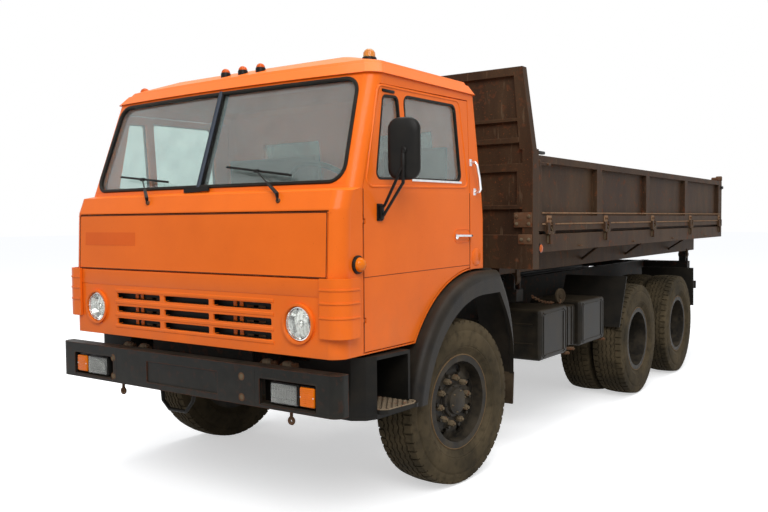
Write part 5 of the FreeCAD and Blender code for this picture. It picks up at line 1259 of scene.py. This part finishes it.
def shader(tree, kind, **values):
    """A new shader node with its sockets set."""
    made = tree.nodes.new(kind)
    for key, value in values.items():
        made.inputs[key.replace("_", " ")].default_value = value
    return made


def seen_or_lighting(tree, lighting, seen, output):
    """One shader in the light it throws; another for the camera, mirrors and through glass."""
    rays = tree.nodes.new("ShaderNodeLightPath")
    total = rays.outputs["Is Camera Ray"]
    for other in ("Is Glossy Ray", "Is Transmission Ray"):
        add = tree.nodes.new("ShaderNodeMath")
        add.operation = "ADD"
        add.use_clamp = True
        tree.links.new(total, add.inputs[0])
        tree.links.new(rays.outputs[other], add.inputs[1])
        total = add.outputs[0]
    mixed = tree.nodes.new("ShaderNodeMixShader")
    for source, target in zip((total, lighting.outputs[0], seen.outputs[0]), mixed.inputs):
        tree.links.new(source, target)
    tree.links.new(mixed.outputs[0], tree.nodes[output].inputs["Surface"])


def stage_plane():
    """A floor far wider than the view: white where it is seen, greyer in the light it throws."""
    mesh = bpy.data.meshes.new("floor")
    mesh.from_pydata([(x, y, 0) for x, y in oblong(-90, 90, -90, 90)], [], [(0, 1, 2, 3)])
    mat = bpy.data.materials.new("floor")
    mat.use_nodes = True
    tree = mat.node_tree
    kind = "ShaderNodeBsdfPrincipled"
    grey = shader(tree, kind, Base_Color=(0.36, 0.35, 0.33, 1), Roughness=0.9,
                  Specular_IOR_Level=0.0)
    white = shader(tree, kind, Base_Color=(0.80, 0.80, 0.80, 1), Roughness=1.0,
                   Specular_IOR_Level=0.0, Emission_Color=(1, 1, 1, 1), Emission_Strength=0.52)
    seen_or_lighting(tree, grey, white, "Material Output")
    mesh.materials.append(mat)
    floor = bpy.data.objects.new("floor", mesh)
    bpy.context.scene.collection.objects.link(floor)


stage_plane()

scene = bpy.context.scene
scene.view_settings.view_transform = "Standard"
world = bpy.data.worlds.new("studio")
scene.world = world
world.use_nodes = True
tree = world.node_tree
seen_or_lighting(tree,
                 shader(tree, "ShaderNodeBackground", Color=(0.93, 0.96, 1.0, 1), Strength=0.60),
                 shader(tree, "ShaderNodeBackground", Color=(1, 1, 1, 1), Strength=1.0),
                 "World Output")


def lamp(name, place, aim, size, power):
    """A soft square lamp aimed at a point."""
    data = bpy.data.lights.new(name, "AREA")
    data.size = size
    data.energy = power
    made = bpy.data.objects.new(name, data)
    made.location = place
    made.rotation_euler = (Vector(aim) - Vector(place)).to_track_quat("-Z", "Y").to_euler()
    scene.collection.objects.link(made)


lamp("key", (7, -10, 9), (0, -1, 1), 7, 1000)
lamp("top", (0, 0, 11), (0, 0, 0), 9, 750)

EYE = Vector((3.6368, AXLE_Y - 4.4029, 1.6453))
YAW, PITCH, ROLL = math.radians(35.2028), math.radians(-2.5178), math.radians(-0.4689)
SENSOR = 36
view = bpy.data.cameras.new("photo_view")
view.lens = 815.12 / 768 * SENSOR  # focal length over the picture's width
view.sensor_width = SENSOR
eye = bpy.data.objects.new("photo_view", view)
ahead = Vector((-math.sin(YAW) * math.cos(PITCH), math.cos(YAW) * math.cos(PITCH),
                math.sin(PITCH)))
right = Vector((math.cos(YAW), math.sin(YAW), 0))
up = right.cross(ahead)
right, up = (right * math.cos(ROLL) + up * math.sin(ROLL),
             up * math.cos(ROLL) - right * math.sin(ROLL))
eye.matrix_world = Matrix.Translation(EYE) @ Matrix((right, up, -ahead)).transposed().to_4x4()
scene.collection.objects.link(eye)
scene.camera = eye
